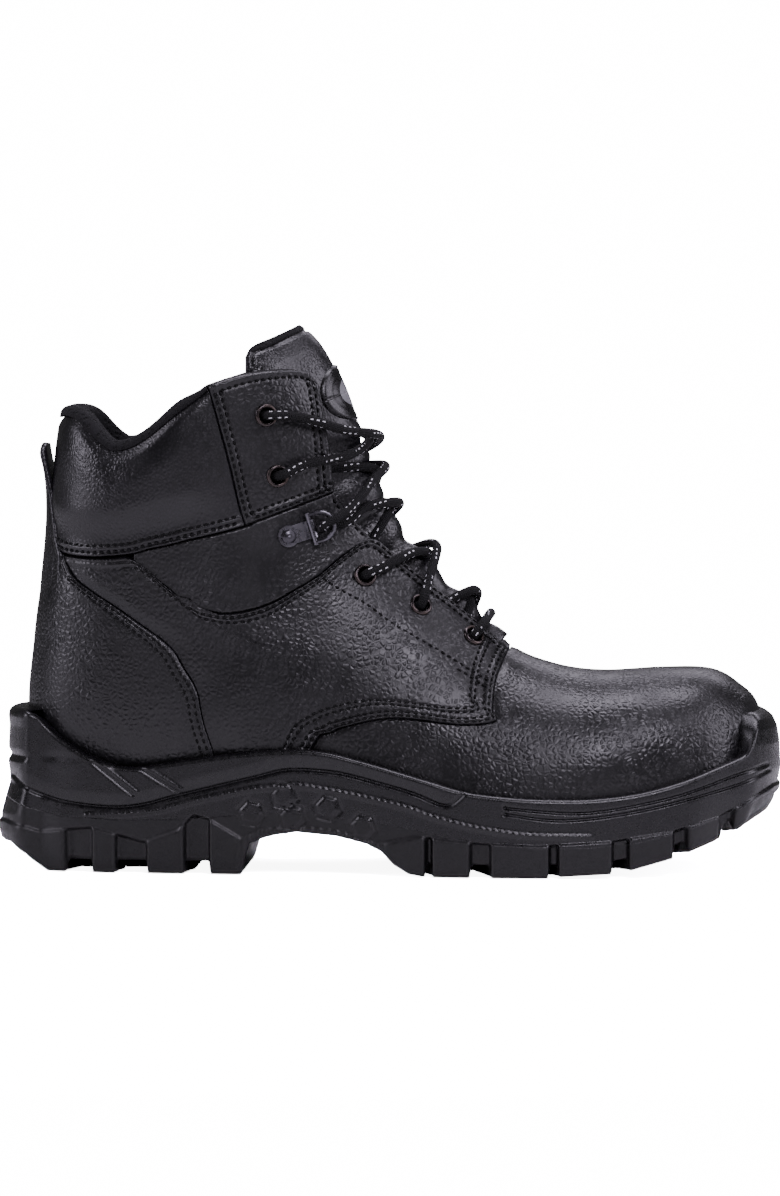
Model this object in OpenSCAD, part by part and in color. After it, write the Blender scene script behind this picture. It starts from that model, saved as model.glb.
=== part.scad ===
// Ankle-height lace-up safety boot, right foot, in millimetres.
// Toe points along +X, the medial side is +Y, up is +Z, the ground is Z = 0.

/* [Size] */
// overall length, from the heel lip to the toe bumper
boot_length = 310; // [260:1:340]
// overall width at the ball of the foot
boot_width = 112; // [95:1:125]
// height from the ground to the top of the tongue
boot_height = 218; // [150:1:260]

/* [Upper] */
// thickness of the outer leather
leather_t = 2; // [1.6:0.1:2.2]
// thickness of the textile lining
lining_t = 1; // [0.8:0.1:1.2]
// clear space between neighbouring layers
layer_gap = 0.5; // [0.4:0.05:0.6]
// clear space at a seam between two panels
seam_gap = 0.9; // [0.6:0.1:1.4]
// thickness of the collar padding
collar_pad_t = 6; // [4:0.5:7]
// thickness of the tongue padding
tongue_pad_t = 4; // [3:0.5:5]

/* [Protection] */
// thickness of the steel toe cap
cap_t = 1.6; // [1.5:0.1:2]
// thickness of the heel counter
counter_t = 1.6; // [1.2:0.1:1.8]
// thickness of the steel shank
shank_t = 1.5; // [1:0.1:2]

/* [Lacing] */
// diameter of the round lace
lace_d = 3.8; // [3:0.1:4.2]
// inner diameter of an eyelet
eyelet_bore = 5.6; // [5:0.1:6]
// outer diameter of the eyelet flange
eyelet_flange = 9; // [8:0.1:9.4]
// wire diameter of the lacing rings
ring_wire_d = 1.8; // [1.4:0.1:2.2]

/* [Sole] */
// depth of the tread lugs
lug_depth = 5; // [3:0.5:6]
// thickness of the sole wall around the upper
wall_t = 6; // [4:0.5:7]

/* [Hidden] */
$fn = 32;
kx = boot_length / 310;
ky = boot_width / 112;
kz = boot_height / 218;
lace_r = lace_d / 2;
tongue_in = 8.2;
ridge_in = 0.8;
foam_out = 1.6 + layer_gap;
foam_in = foam_out + collar_pad_t;
lining_out = leather_t + layer_gap + 1.8 + 0.8;

// The surface of the upper: each row is one slanted section.
// [front x, front z, back x, back z, half width, widest point, two roundness numbers]
fan = [
  [147.5, 41, 106, 20, 45, 0.96, 2.4, 3.2],
  [146, 57.5, 98, 19, 46.5, 0.94, 2.4, 3.2],
  [141, 70.5, 88, 18, 48, 0.91, 2.4, 3.2],
  [129, 79, 76, 17.3, 49, 0.87, 2.4, 3.2],
  [108, 80, 62, 17, 50, 0.84, 2.4, 3.2],
  [84, 79, 46, 17.5, 49.5, 0.82, 2.3, 3.2],
  [64, 82, 30, 19.5, 47.5, 0.79, 2.15, 3.1],
  [48, 89, 10, 23, 44, 0.76, 2.05, 3],
  [31, 105, -24, 28.5, 39.5, 0.7, 2, 3],
  [13, 122, -68, 29, 37, 0.6, 2, 3],
  [1, 137, -116, 31, 36.5, 0.54, 2, 2.9],
  [-6, 150, -141, 50, 36.5, 0.52, 2, 2.6],
  [-10.5, 163, -142, 92, 37, 0.53, 2.05, 2.4],
  [-15, 178, -138, 131, 38.5, 0.54, 2.1, 2.3],
  [-20, 192, -135.5, 160, 39.5, 0.54, 2.1, 2.2],
  [-27, 206, -132.5, 186, 40, 0.54, 2.1, 2.2],
  [-37, 220, -130, 210, 40, 0.54, 2.1, 2.2]];

function unit(v) = v / max(norm(v), 0.000001);
function ease(t) = let (c = min(max(t, 0), 1)) c * c * (3 - 2 * c);
function bend(a, b, c, d, t) = 0.5 * (2 * b + (c - a) * t + (2 * a - 5 * b + 4 * c - d) * t * t
  + (3 * b - a - 3 * c + d) * t * t * t);
function row(s) = let (n = len(fan) - 1, u = min(max(s, 0), 1) * n, i = min(floor(u), n - 1))
  bend(fan[max(i - 1, 0)], fan[i], fan[i + 1], fan[min(i + 2, n)], u - i);
// a point of the surface: s runs from the toe to the top, b from the front ridge
// (0) over the lateral side to the back or bottom (1); negative b is medial
function skin(s, b0) = let (b = b0 > 1 ? b0 - 2 : b0, r = row(s), a = 180 * abs(b),
    c = abs(cos(a)), w = max(sin(a), 0), front = abs(b) <= 0.5,
    e = 2 / (front ? r[6] : r[7]),
    t = front ? r[5] * (1 - pow(c, e)) : r[5] + (1 - r[5]) * pow(c, e),
    x = r[0] + t * (r[2] - r[0]))
  [kx * x, ky * (7 * ease((x - 10) / 140) - sign(b) * r[4] * pow(w, e)),
   kz * (r[1] + t * (r[3] - r[1]))];
function out(s, b) = unit(cross(skin(s + 0.003, b) - skin(s - 0.003, b),
  skin(s, b + 0.003) - skin(s, b - 0.003)));
function at(s, b, o) = skin(s, b) + o * out(s, b);
// side view position (x, z) turned into (s, b)
function side_of(s, x, z) = let (r = row(s)) (r[2] - r[0]) * (z - r[1]) - (r[3] - r[1]) * (x - r[0]);
function halve(lo, hi, x, z, n) = n == 0 ? (lo + hi) / 2 : let (m = (lo + hi) / 2)
  side_of(m, x, z) > 0 ? halve(lo, m, x, z, n - 1) : halve(m, hi, x, z, n - 1);
function spot(x, z) = let (s = halve(0, 1, x, z, 22), r = row(s), dx = r[2] - r[0], dz = r[3] - r[1],
    t = min(max(((x - r[0]) * dx + (z - r[1]) * dz) / (dx * dx + dz * dz), 0), 1),
    a = t <= r[5] ? acos(pow(1 - t / r[5], r[6] / 2))
      : 180 - acos(pow((t - r[5]) / (1 - r[5]), r[7] / 2)))
  [s, a / 180];
function spots(l) = [for (p = l) spot(p[0], p[1])];
function medial(l) = [for (p = l) [p[0], -p[1]]];
function round_back(l) = [for (p = l) [p[0], 2 - p[1]]];
function turned(l) = [for (i = [len(l) - 1:-1:0]) l[i]];

// curves on the surface, sampled evenly by length
function dense(c) = [for (i = [0:len(c) - 2], j = [0:3])
    bend(c[max(i - 1, 0)], c[i], c[i + 1], c[min(i + 2, len(c) - 1)], j / 4), c[len(c) - 1]];
function sums(q) = [for (i = 0, a = 0; i < len(q);
    a = a + (i + 1 < len(q) ? norm(q[i + 1] - q[i]) : 0), i = i + 1) a];
function pick(p, l, d) = let (k = max([for (i = [0:len(l) - 2]) if (l[i] <= d || i == 0) i]))
  p[k] + (p[k + 1] - p[k]) * min(max((d - l[k]) / max(l[k + 1] - l[k], 0.00001), 0), 1);
function ends(c) = let (p = dense(c), l = sums([for (a = p) skin(a[0], a[1])])) [p, l, l[len(l) - 1]];
function along(e, n, g) = [for (i = [0:n]) pick(e[0], e[1], e[2] * (g + (1 - 2 * g) * i / n))];
// a four-sided patch between curves: low edge, high edge, start edge, end edge
function patch(lo, hi, st, en, nu, nv, gap = seam_gap) = let (L = ends(lo), H = ends(hi),
    S = ends(st), E = ends(en), gu = gap / (L[2] + H[2]), gv = gap / (S[2] + E[2]),
    l = along(L, nu, gu), h = along(H, nu, gu), w = along(S, nv, gv), e = along(E, nv, gv),
    a = lo[0], b = lo[len(lo) - 1], c = hi[0], d = hi[len(hi) - 1])
  [for (j = [0:nv]) let (v = gv + (1 - 2 * gv) * j / nv) [for (i = [0:nu])
    let (u = gu + (1 - 2 * gu) * i / nu) (1 - v) * l[i] + v * h[i] + (1 - u) * w[j] + u * e[j]
      - ((1 - u) * (1 - v) * a + u * (1 - v) * b + (1 - u) * v * c + u * v * d)]];
function face(g, o) = [for (r = g) [for (p = r) at(p[0], p[1], o)]];
// closed solid between two grids of points; the first one is the outer face
module slab(A, B) {
  m = len(A);
  n = len(A[0]);
  k = m * n;
  function q(a, b, c, d) = [[a, b, c], [a, c, d]];
  function flat(l) = [for (a = l) each a];
  sides = concat(
    [for (i = [0:n - 2]) q(i, i + 1, k + i + 1, k + i)],
    [for (i = [0:n - 2]) q((m - 1) * n + i + 1, (m - 1) * n + i, k + (m - 1) * n + i, k + (m - 1) * n + i + 1)],
    [for (j = [0:m - 2]) q((j + 1) * n, j * n, k + j * n, k + (j + 1) * n)],
    [for (j = [0:m - 2]) q(j * n + n - 1, (j + 1) * n + n - 1, k + (j + 1) * n + n - 1, k + j * n + n - 1)]);
  top = [for (j = [0:m - 2], i = [0:n - 2]) q(j * n + i, (j + 1) * n + i, (j + 1) * n + i + 1, j * n + i + 1)];
  low = [for (j = [0:m - 2], i = [0:n - 2])
    q(k + j * n + i, k + j * n + i + 1, k + (j + 1) * n + i + 1, k + (j + 1) * n + i)];
  polyhedron(concat(flat(A), flat(B)), flat(concat(sides, top, low)));
}
// the origin is the centre of the footprint
module seated() translate([-1.32 * kx, -2.655 * ky, 0]) children();
module shell(g, o1, o2) slab(face(g, o1), face(g, o2));

// ---- lines of the panels, in side view ----
feather = spots([[144, 40], [138, 37.4], [128, 33.5], [112, 28], [92, 24.5], [70, 24], [48, 25],
  [26, 27.5], [4, 32], [-14, 36.5], [-32, 38.5], [-50, 38.5], [-67, 37.5], [-85, 36.5],
  [-103, 36.5], [-118, 38], [-130, 43], [-138, 49]]);
feather_back = [0.69, 1];
vamp_seam = spots([[-32, 38.5], [-28, 52.8], [-21, 56.4], [-3.8, 61.2], [10.2, 61.6], [42.2, 60.8]]);
facing_low = [[0.408, 0.334], [0.417, 0.307], [0.432, 0.229], [0.437, 0.136], [0.438, 0.075]];
facing_edge = [[0.438, 0.075], [0.455, 0.08], [0.49, 0.09], [0.54, 0.105], [0.59, 0.125],
  [0.633, 0.15]];
patch_front = [[0.633, 0.15], [0.68, 0.17], [0.729, 0.195]];
tab_front = [[0.729, 0.195], [0.806, 0.181], [0.869, 0.168], [0.895, 0.178]];
patch_low = concat(spots([[-100.6, 124.6], [-87, 113.4], [-79, 106.6], [-70.6, 104], [-60.6, 103.6],
  [-47.4, 107], [-36.6, 112.8], [-27.4, 118.4], [-18.2, 126]]), [[0.633, 0.15]]);
collar_low_side = spots([[-129.6, 126], [-112.6, 125], [-100.6, 126.4], [-94.6, 128.2],
  [-83, 130.8], [-56.6, 137.4]]);
tab_low = concat(spots([[-56.6, 137.4], [-51.8, 139.6], [-36.6, 145.2]]), [[0.729, 0.195]]);
tab_rear = spots([[-56.6, 137.4], [-60.6, 152.4], [-65.4, 172.4], [-71.4, 193.8]]);
tab_top = concat(spots([[-71.4, 193.8], [-56.6, 198.4], [-42, 200]]), [[0.917, 0.2], [0.895, 0.178]]);
back_edge = spots([[-67, 37.5], [-69.8, 50.4], [-74.6, 68.8], [-82.2, 84], [-88.6, 92],
  [-97.4, 98.4], [-106.6, 104.8], [-116.6, 111.2], [-125, 117.6], [-129.6, 126]]);
collar_top_side = spots([[-71.4, 193.8], [-90.6, 177.2], [-100.6, 170.4], [-108.6, 168.4],
  [-112.6, 170], [-124, 180.2]]);
collar_top_back = [0.925, 1];
collar_low_back = [0.8, 1];

// ---- panels ----
// the vamp keeps clear of the sharp front corner of the quarter
vamp_rear = concat([for (i = [0:4]) vamp_seam[i]], [[0.397, 0.338], [0.409, 0.3], [0.428, 0.226]],
  [for (i = [3:4]) facing_low[i]]);
vamp_grid = patch(turned(concat([[0.012, 0.12]], [for (i = [1:10]) feather[i]])),
  medial(turned(concat([[0.012, 0.12]], [for (i = [1:10]) feather[i]]))),
  concat(vamp_rear, [[0.436, 0]], medial(turned(vamp_rear))),
  [[0.012, 0.12], [0.012, 0], [0.012, -0.12]], 16, 24, seam_gap + 0.8);
module vamp() color("#26252a") shell(vamp_grid, 0.2, 0.2 - leather_t);

quarter_grid = patch(concat([spot(-67, 37.5), spot(-50, 38.5)], [spot(-32, 38.5)]),
  concat([for (i = [0:1]) collar_low_side[i]], [for (i = [0:9]) patch_low[i]],
    turned([for (i = [0:4]) facing_edge[i]])),
  back_edge, concat(vamp_seam, [for (i = [1:4]) facing_low[i]]), 22, 16);
eyelet_spots = [spot(33, 93.2), spot(12.2, 105.6), spot(-9.8, 117.6), spot(-44.2, 157.6),
  spot(-48.6, 181.6)];
module stand(s, b) {
  p = skin(s, b);
  n = out(s, b);
  t = unit(cross([0, 0, 1], n));
  u = cross(n, t);
  multmatrix([[t[0], u[0], n[0], p[0]], [t[1], u[1], n[1], p[1]], [t[2], u[2], n[2], p[2]], [0, 0, 0, 1]])
    children();
}
module eyelet_holes(side, list) {
  for (i = list)
    stand(eyelet_spots[i][0], side * eyelet_spots[i][1])
      translate([0, 0, -8]) cylinder(d = eyelet_bore + 1.4, h = 16);
}
function sided(g, side) = [for (r = g) [for (p = r) [p[0], side * p[1]]]];
module quarter(side) {
  difference() {
    if (side > 0) shell(quarter_grid, 0, -leather_t);
    else slab(face(sided(quarter_grid, -1), -leather_t), face(sided(quarter_grid, -1), 0));
    eyelet_holes(side, [0, 1, 2]);
  }
}
module quarter_lateral() color("#222126") quarter(1);
module quarter_medial() color("#222126") quarter(-1);

patch_grid = patch(patch_low, concat([collar_low_side[2], collar_low_side[3], collar_low_side[4]],
    tab_low), [patch_low[0], collar_low_side[2]], patch_front, 16, 6);
module ankle_patch(side) {
  difference() {
    if (side > 0) shell(patch_grid, 0, -leather_t);
    else slab(face(sided(patch_grid, -1), -leather_t), face(sided(patch_grid, -1), 0));
    stand(clip_spot[0], side * clip_spot[1])
      translate([0, 0, -8]) cylinder(d = 3.6, h = 16);
  }
}
module ankle_patch_lateral() color("#28272c") ankle_patch(1);
module ankle_patch_medial() color("#28272c") ankle_patch(-1);

tab_grid = patch(tab_low, tab_top, tab_rear, tab_front, 10, 12);
module eyelet_tab(side) {
  difference() {
    if (side > 0) shell(tab_grid, 0, -leather_t);
    else slab(face(sided(tab_grid, -1), -leather_t), face(sided(tab_grid, -1), 0));
    eyelet_holes(side, [3, 4]);
  }
}
module eyelet_tab_lateral() color("#2a292e") eyelet_tab(1);
module eyelet_tab_medial() color("#2a292e") eyelet_tab(-1);

// collar, once round the back from one eyelet tab to the other
collar_low = concat(turned(collar_low_side), [[0.806, 0.9], collar_low_back, [0.806, 1.1]],
  round_back(collar_low_side));
collar_top = concat(collar_top_side, [[0.927, 0.9], collar_top_back, [0.927, 1.1]],
  turned(round_back(collar_top_side)));
collar_grid = patch(collar_low, collar_top, tab_rear, round_back(tab_rear), 34, 6);
module collar() color("#2b2a2f") shell(collar_grid, 0, -1.6);
function inset(g, a, c) = let (m = len(g) - 1, n = len(g[0]) - 1)
  [for (j = [0:m]) [for (i = [0:n]) grid_at(g, c + (1 - 2 * c) * i / n, a + (1 - 2 * a) * j / m)]];
function grid_at(g, u, v) = let (m = len(g) - 1, n = len(g[0]) - 1, x = u * n, y = v * m,
    i = min(floor(x), n - 1), j = min(floor(y), m - 1), fx = x - i, fy = y - j)
  (1 - fx) * (1 - fy) * g[j][i] + fx * (1 - fy) * g[j][i + 1] + (1 - fx) * fy * g[j + 1][i]
    + fx * fy * g[j + 1][i + 1];
foam_grid = inset(collar_grid, 0.02, 0.02);
module collar_foam() color("#4a4a52") shell(foam_grid, -foam_out, -foam_in);
// the lining runs up inside the padding and rolls over its top edge
function roll(g, table) = [for (c = table) [for (i = [0:len(g[0]) - 1])
  let (p = grid_at(g, i / (len(g[0]) - 1), min(c[0], 1)), d = [0, 0, c[2]]) at(p[0], p[1], -c[1]) + d]];
li = foam_in + layer_gap;
lo = li + lining_t;
module collar_lining() color("#101012")
  slab(roll(foam_grid, [[0, li, 0], [0.25, li, 0], [0.5, li, 0], [0.75, li, 0], [1, li, 0.6],
      [1, foam_out + collar_pad_t * 0.6, 2], [1, foam_out + 1, 2.2], [1, foam_out - 0.9, 1.5]]),
    roll(foam_grid, [[0, lo, 0], [0.25, lo, 0], [0.5, lo, 0], [0.75, lo, 0], [1, lo, 1.4],
      [1, foam_out + collar_pad_t * 0.6 + 0.4, 3.4], [1, foam_out + 0.6, 3.6], [1, foam_out - 1.9, 2]]));

backstay_grid = patch(concat([for (i = [12:17]) feather[i]], [feather_back],
    turned(round_back([for (i = [12:17]) feather[i]]))),
  [collar_low_side[0], [0.804, 0.9], collar_low_back, [0.804, 1.1], round_back(collar_low_side)[0]],
  back_edge, round_back(back_edge), 18, 11);
module backstay() color("#242328") shell(backstay_grid, 0, -leather_t);

// ---- inside layers ----
counter_low = concat(spots([[-75, 40], [-85, 39.5], [-103, 39.5], [-118, 41], [-129, 46]]),
  [[0.697, 1]], turned(round_back(spots([[-75, 40], [-85, 39.5], [-103, 39.5], [-118, 41], [-129, 46]]))));
counter_top = concat(spots([[-84, 60], [-96, 78], [-110, 88], [-126, 92]]), [[0.752, 1]],
  turned(round_back(spots([[-84, 60], [-96, 78], [-110, 88], [-126, 92]]))));
counter_grid = patch(counter_low, counter_top, spots([[-75, 40], [-79, 50], [-84, 60]]),
  round_back(spots([[-75, 40], [-79, 50], [-84, 60]])), 20, 6, 0.4);
module heel_counter() color("#8c8478")
  shell(counter_grid, -leather_t - layer_gap, -leather_t - layer_gap - counter_t);

cap_side = spots([[138, 39], [128, 35], [112, 30], [96, 27.5]]);
cap_rear = concat(spots([[96, 27.5], [99, 45], [97, 62]]), [[0.262, 0.2], [0.262, 0]]);
cap_grid = patch(turned(concat([[0.016, 0.16]], [for (i = [1:3]) cap_side[i]])),
  medial(turned(concat([[0.016, 0.16]], [for (i = [1:3]) cap_side[i]]))),
  concat(cap_rear, medial(turned([for (i = [0:3]) cap_rear[i]]))),
  [[0.016, 0.16], [0.016, 0], [0.016, -0.16]], 12, 22, 0.4);
module toe_cap() color("#9aa0a6")
  shell(cap_grid, -leather_t - layer_gap - 0.5, -leather_t - layer_gap - 0.5 - cap_t);
strip_lo = concat(spots([[95, 28.5], [98, 45], [96, 62]]), [[0.266, 0.2], [0.266, 0]]);
strip_hi = concat(spots([[85, 28.5], [88, 45], [86, 62]]), [[0.305, 0.2], [0.305, 0]]);
strip_grid = patch(concat(strip_lo, medial(turned([for (i = [0:3]) strip_lo[i]]))),
  concat(strip_hi, medial(turned([for (i = [0:3]) strip_hi[i]]))),
  [strip_lo[0], strip_hi[0]], medial([strip_lo[0], strip_hi[0]]), 22, 2, 0.6);
module cap_edge_strip() color("#3c3c40")
  shell(strip_grid, -leather_t - layer_gap, -leather_t - layer_gap - cap_t);

vamp_lining_side = concat([[0.018, 0.16]], spots([[128, 36], [112, 30.5], [92, 27.5], [70, 27],
  [48, 28], [26, 30.5], [4, 35]]));
vamp_lining_rear = [spot(4, 35), spot(14, 52), [0.425, 0.28], [0.428, 0.14], [0.428, 0]];
vamp_lining_grid = patch(turned(vamp_lining_side), medial(turned(vamp_lining_side)),
  concat(vamp_lining_rear, medial(turned([for (i = [0:3]) vamp_lining_rear[i]]))),
  [[0.018, 0.16], [0.018, 0], [0.018, -0.16]], 12, 16);
module vamp_lining() color("#17171a") shell(vamp_lining_grid, -lining_out, -lining_out - lining_t);

quarter_lining_low = spots([[-34, 41], [-50, 41.5], [-67, 40.5], [-85, 39.5], [-103, 39.5],
  [-118, 41.5], [-129, 46.5]]);
quarter_lining_top = spots([[-58, 133.6], [-83, 128], [-94.6, 125], [-112.6, 122], [-128, 122.6]]);
quarter_lining_front = spots([[-34, 41], [-40, 75], [-47, 105], [-58, 133.6]]);
quarter_lining_grid = patch(
  concat(quarter_lining_low, [[0.698, 1]], turned(round_back(quarter_lining_low))),
  concat(quarter_lining_top, [[0.79, 1]], turned(round_back(quarter_lining_top))),
  quarter_lining_front, round_back(quarter_lining_front), 26, 8);
module quarter_lining() color("#17171a")
  shell(quarter_lining_grid, -lining_out, -lining_out - lining_t);

// ---- bottom parts ----
board_side = concat([[0.004, 0.2], [0.006, 0.32]], spots([[122, 28.5], [108, 24], [92, 21.8],
  [70, 21.2], [48, 22], [26, 24.8], [4, 29.3], [-14, 33.6], [-32, 35.8], [-50, 35.8], [-67, 34.8],
  [-85, 34], [-103, 34], [-117, 35.4], [-128, 40]]), [[0.664, 0.93]]);
board_grid = patch(board_side, round_back(board_side), [[0.004, 0.2], [0.004, 1], [0.004, 1.8]],
  [[0.664, 0.93], [0.668, 1], [0.664, 1.07]], 22, 6, 0.4);
module lasting_board() color("#b9a27c") shell(board_grid, -0.6, -2.6);
bed_side = concat([[0.02, 0.45], [0.03, 0.5]], spots([[108, 24.3], [92, 22.1],
  [70, 21.5], [48, 22.3], [26, 25.2], [4, 29.7], [-14, 34], [-32, 36.2], [-50, 36.2], [-67, 35.2],
  [-85, 34.5], [-103, 34.5], [-116, 35.8], [-126, 39.8]]), [[0.656, 0.93]]);
bed_grid = patch(bed_side, round_back(bed_side), [[0.02, 0.45], [0.02, 1], [0.02, 1.55]],
  [[0.656, 0.93], [0.66, 1], [0.656, 1.07]], 22, 6, 1.4);
module footbed() color("#1d1d20") shell(bed_grid, -3.6, -7.4);

// lip line of the sole, side view, and the plan outline taken from it
lip = [[-140.6, 54.4], [-131.4, 48], [-119.4, 44], [-107, 42.4], [-97, 42.4], [-80.2, 45.2],
  [-63.8, 47.6], [-42.6, 49.6], [-26.2, 49.2], [-10.6, 45.6], [3.8, 41.6], [17.8, 37.6],
  [32.2, 33.6], [51, 31.6], [66, 31], [82.6, 31.2], [100.6, 33.4], [118.2, 38], [132.6, 43.4],
  [141.5, 47]];
toe_turn = [0.225, 0.18, 0.135, 0.09, 0.045, 0.001];
heel_turn = [0.84, 0.885, 0.93, 0.965];
function edge_sb(s, b, t) = let (a = skin(s, b), n = out(s, b), m = unit([n[0], n[1]]))
  [a[0] + m[0] * t, a[1] + m[1] * t];
function edge_at(p, side, t) = let (q = spot(p[0], p[1])) edge_sb(q[0], side * q[1], t);
function outline(t) = concat(
  [for (b = turned(heel_turn)) edge_sb(0.698, b, t + 3)],
  [for (i = [1:len(lip) - 2]) edge_at(lip[i], 1, t + 3 * (1 - ease((i - 1) / 4)))],
  [for (b = toe_turn) edge_sb(0.04, b, t + 1.4)],
  [for (b = turned(toe_turn)) edge_sb(0.04, -b, t + 1.4)],
  [for (i = [len(lip) - 2:-1:1]) edge_at(lip[i], -1, t + 3 * (1 - ease((i - 1) / 4)))],
  [for (b = concat(heel_turn, [1])) edge_sb(0.698, b > 0.99 ? 1 : -b, t + 3)]);
join_line = [[155, 33], [140, 26], [120, 19], [100, 14], [80, 12], [58, 12], [32, 14.5], [4, 20],
  [-32, 24.5], [-50, 24.5], [-77, 22], [-103, 21], [-130, 22], [-143, 25], [-156, 30]];
module side_cut(points) rotate([90, 0, 0]) linear_extrude(height = 160, center = true) polygon(points);
module midsole() color("#1a1a1c") {
  difference() {
    intersection() {
      linear_extrude(height = 80) polygon(outline(wall_t));
      side_cut(concat([for (p = join_line) [kx * p[0], kz * (p[1] + 0.3)]],
        [[-170, 30.3], [-170, 63], [-147, 64.5], [-144.6, 61.2]], [for (p = lip) [kx * p[0], kz * p[1]]],
        [[144.2, 48], [145.4, 60], [147, 64], [150.2, 61], [160, 56], [160, 33.3]]));
    }
    cavity();
    shank_slot();
  }
}
module cavity() {
  ss = [0, 0.02, 0.04, 0.07, 0.1, 0.14, 0.18, 0.23, 0.28, 0.33, 0.38, 0.43, 0.47, 0.51, 0.55, 0.59,
    0.62, 0.65, 0.68, 0.71, 0.75, 0.8];
  nb = 40;
  rings = [for (s = ss) [for (i = [0:nb - 1])
    at(s, -1 + 2 * i / nb + 0.0001, layer_gap + 0.6 * ease((s - 0.5) / 0.1))]];
  pts = concat([for (r = rings) each r], [skin(0, 0) * 0.5 + skin(0, 1) * 0.5 + [0, 0, -0.4],
    skin(0.8, 0) * 0.5 + skin(0.8, 1) * 0.5]);
  k = len(ss) * nb;
  function nx(i) = (i + 1) % nb;
  polyhedron(pts, concat(
    [for (j = [0:len(ss) - 2], i = [0:nb - 1]) [j * nb + i, j * nb + nx(i), (j + 1) * nb + nx(i)]],
    [for (j = [0:len(ss) - 2], i = [0:nb - 1]) [j * nb + i, (j + 1) * nb + nx(i), (j + 1) * nb + i]],
    [for (i = [0:nb - 1]) [k, nx(i), i]],
    [for (i = [0:nb - 1]) [k + 1, (len(ss) - 1) * nb + i, (len(ss) - 1) * nb + nx(i)]]));
}
// steel shank: a flat bar bedded in the midsole under the arch
module shank_bar(g) translate([-98 - g, -7 - g, 25.6 - g])
  cube([66 + 2 * g, 14 + 2 * g, shank_t + 2 * g]);
module shank_slot() shank_bar(0.25);
module shank() color("#8f9499") shank_bar(0);

ground = [[-150, 11], [-143, 5], [-136, 0], [-128.6, 0], [-127.6, lug_depth], [-118.8, lug_depth],
  [-117.8, 0], [-108.2, 0], [-107.2, lug_depth], [-96.8, lug_depth], [-95.8, 0], [-80.6, 0],
  [-79.4, lug_depth], [-71.6, lug_depth], [-70.6, 0], [-58, 0], [-54.6, 12.5], [-46, 15.5], [-36, 17],
  [-20, 15.6], [-8, 12.6], [-2, 9.6], [3, 4.6], [9, 1], [14, 0.2], [15.6, lug_depth], [17.4, lug_depth],
  [19, 0], [33.4, 0], [34.6, lug_depth], [40.2, lug_depth], [41.4, 0], [64.6, 0], [65.4, lug_depth],
  [68, lug_depth], [69, 0.6], [89.4, 1.6], [90.4, lug_depth + 1.8], [95, lug_depth + 2.6], [96, 2.8],
  [113.4, 7.6], [114.4, 12.4], [118, 14], [119, 9.6], [132.2, 14.6], [133.2, 19.6], [137, 21.2],
  [138.2, 17.6], [150, 24.5], [154.6, 31]];
module outsole() color("#141416") {
  difference() {
    intersection() {
      linear_extrude(height = 80) polygon(outline(wall_t + 0.4));
      side_cut(concat([[-170, 30], [-170, 16], [-155, 15]], [for (p = ground) [kx * p[0], kz * p[1]]],
        [[160, 32], [160, 33]], [for (p = join_line) [kx * p[0], kz * p[1]]]));
    }
    // channel along the middle of the heel and of the forefoot, between the side lugs
    translate([-124, -16, -1]) cube([48, 32, lug_depth + 1]);
    translate([22, -26, -1]) cube([62, 58, lug_depth + 1]);
  }
  for (x = [-116, -98])
    translate([x, -9, 0]) cube([10, 18, lug_depth + 0.5]);
  for (x = [29, 47, 65])
    for (y = [-19, 3])
      translate([x, y, 0]) cube([10, 18, lug_depth + 0.5]);
}

// ---- tongue ----
function gap_half(s) = 0.085 + 0.105 * min(max((s - 0.45) / 0.28, 0), 1);
function tongue_off(s, b) = -tongue_in + (tongue_in - ridge_in) * (1 - ease(abs(b) / gap_half(s)));
tongue_side = [[0.45, 0.19], [0.5, 0.21], [0.6, 0.27], [0.7, 0.33], [0.8, 0.35], [0.88, 0.355],
  [0.93, 0.345]];
tongue_top = concat([[0.93, 0.345], [0.953, 0.3], [0.974, 0.21], [0.985, 0.11], [0.988, 0]],
  medial(turned([[0.93, 0.345], [0.953, 0.3], [0.974, 0.21], [0.985, 0.11]])));
tongue_grid = patch([[0.45, 0.19], [0.45, 0.1], [0.45, 0], [0.45, -0.1], [0.45, -0.19]], tongue_top,
  tongue_side, medial(tongue_side), 14, 16, 0.2);
function tongue_face(g, o) = [for (r = g) [for (p = r) at(p[0], p[1], tongue_off(p[0], p[1]) - o)]];
tongue_small = inset(tongue_grid, 0.015, 0.02);
module tongue() color("#29282d") slab(tongue_face(tongue_grid, 0), tongue_face(tongue_grid, 1.2));
module tongue_foam() color("#4a4a52")
  slab(tongue_face(tongue_small, 1.6), tongue_face(tongue_small, 1.6 + tongue_pad_t));
module tongue_lining() color("#101012")
  slab(tongue_face(tongue_small, 2 + tongue_pad_t), tongue_face(tongue_small, 3 + tongue_pad_t));
badge_grid = [for (j = [0:6]) [for (i = [0:6]) let (u = i / 3 - 1, v = j / 3 - 1,
    a = u * sqrt(1 - v * v / 2), c = v * sqrt(1 - u * u / 2)) [0.925 + 0.042 * c, 0.075 * a]]];
module tongue_badge() color("#6f7278")
  slab(tongue_face(badge_grid, -1.2), tongue_face(badge_grid, -0.35));

// ---- pull tab standing off the collar at the back ----
tab_rows = [[0.812, 1.6], [0.83, 2.4], [0.85, 3.4], [0.87, 4.4], [0.89, 5.4], [0.905, 6.2]];
function pull_pt(r, b, o) = at(r[0], 1 + b * (0.125 - 0.04 * (r[0] - 0.812) / 0.093), r[1] + o);
module pull_tab() color("#232227")
  slab([for (r = tab_rows) [for (i = [-4:4]) pull_pt(r, i / 4, 2.2)]],
    [for (r = tab_rows) [for (i = [-4:4]) pull_pt(r, i / 4, 0)]]);

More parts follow.
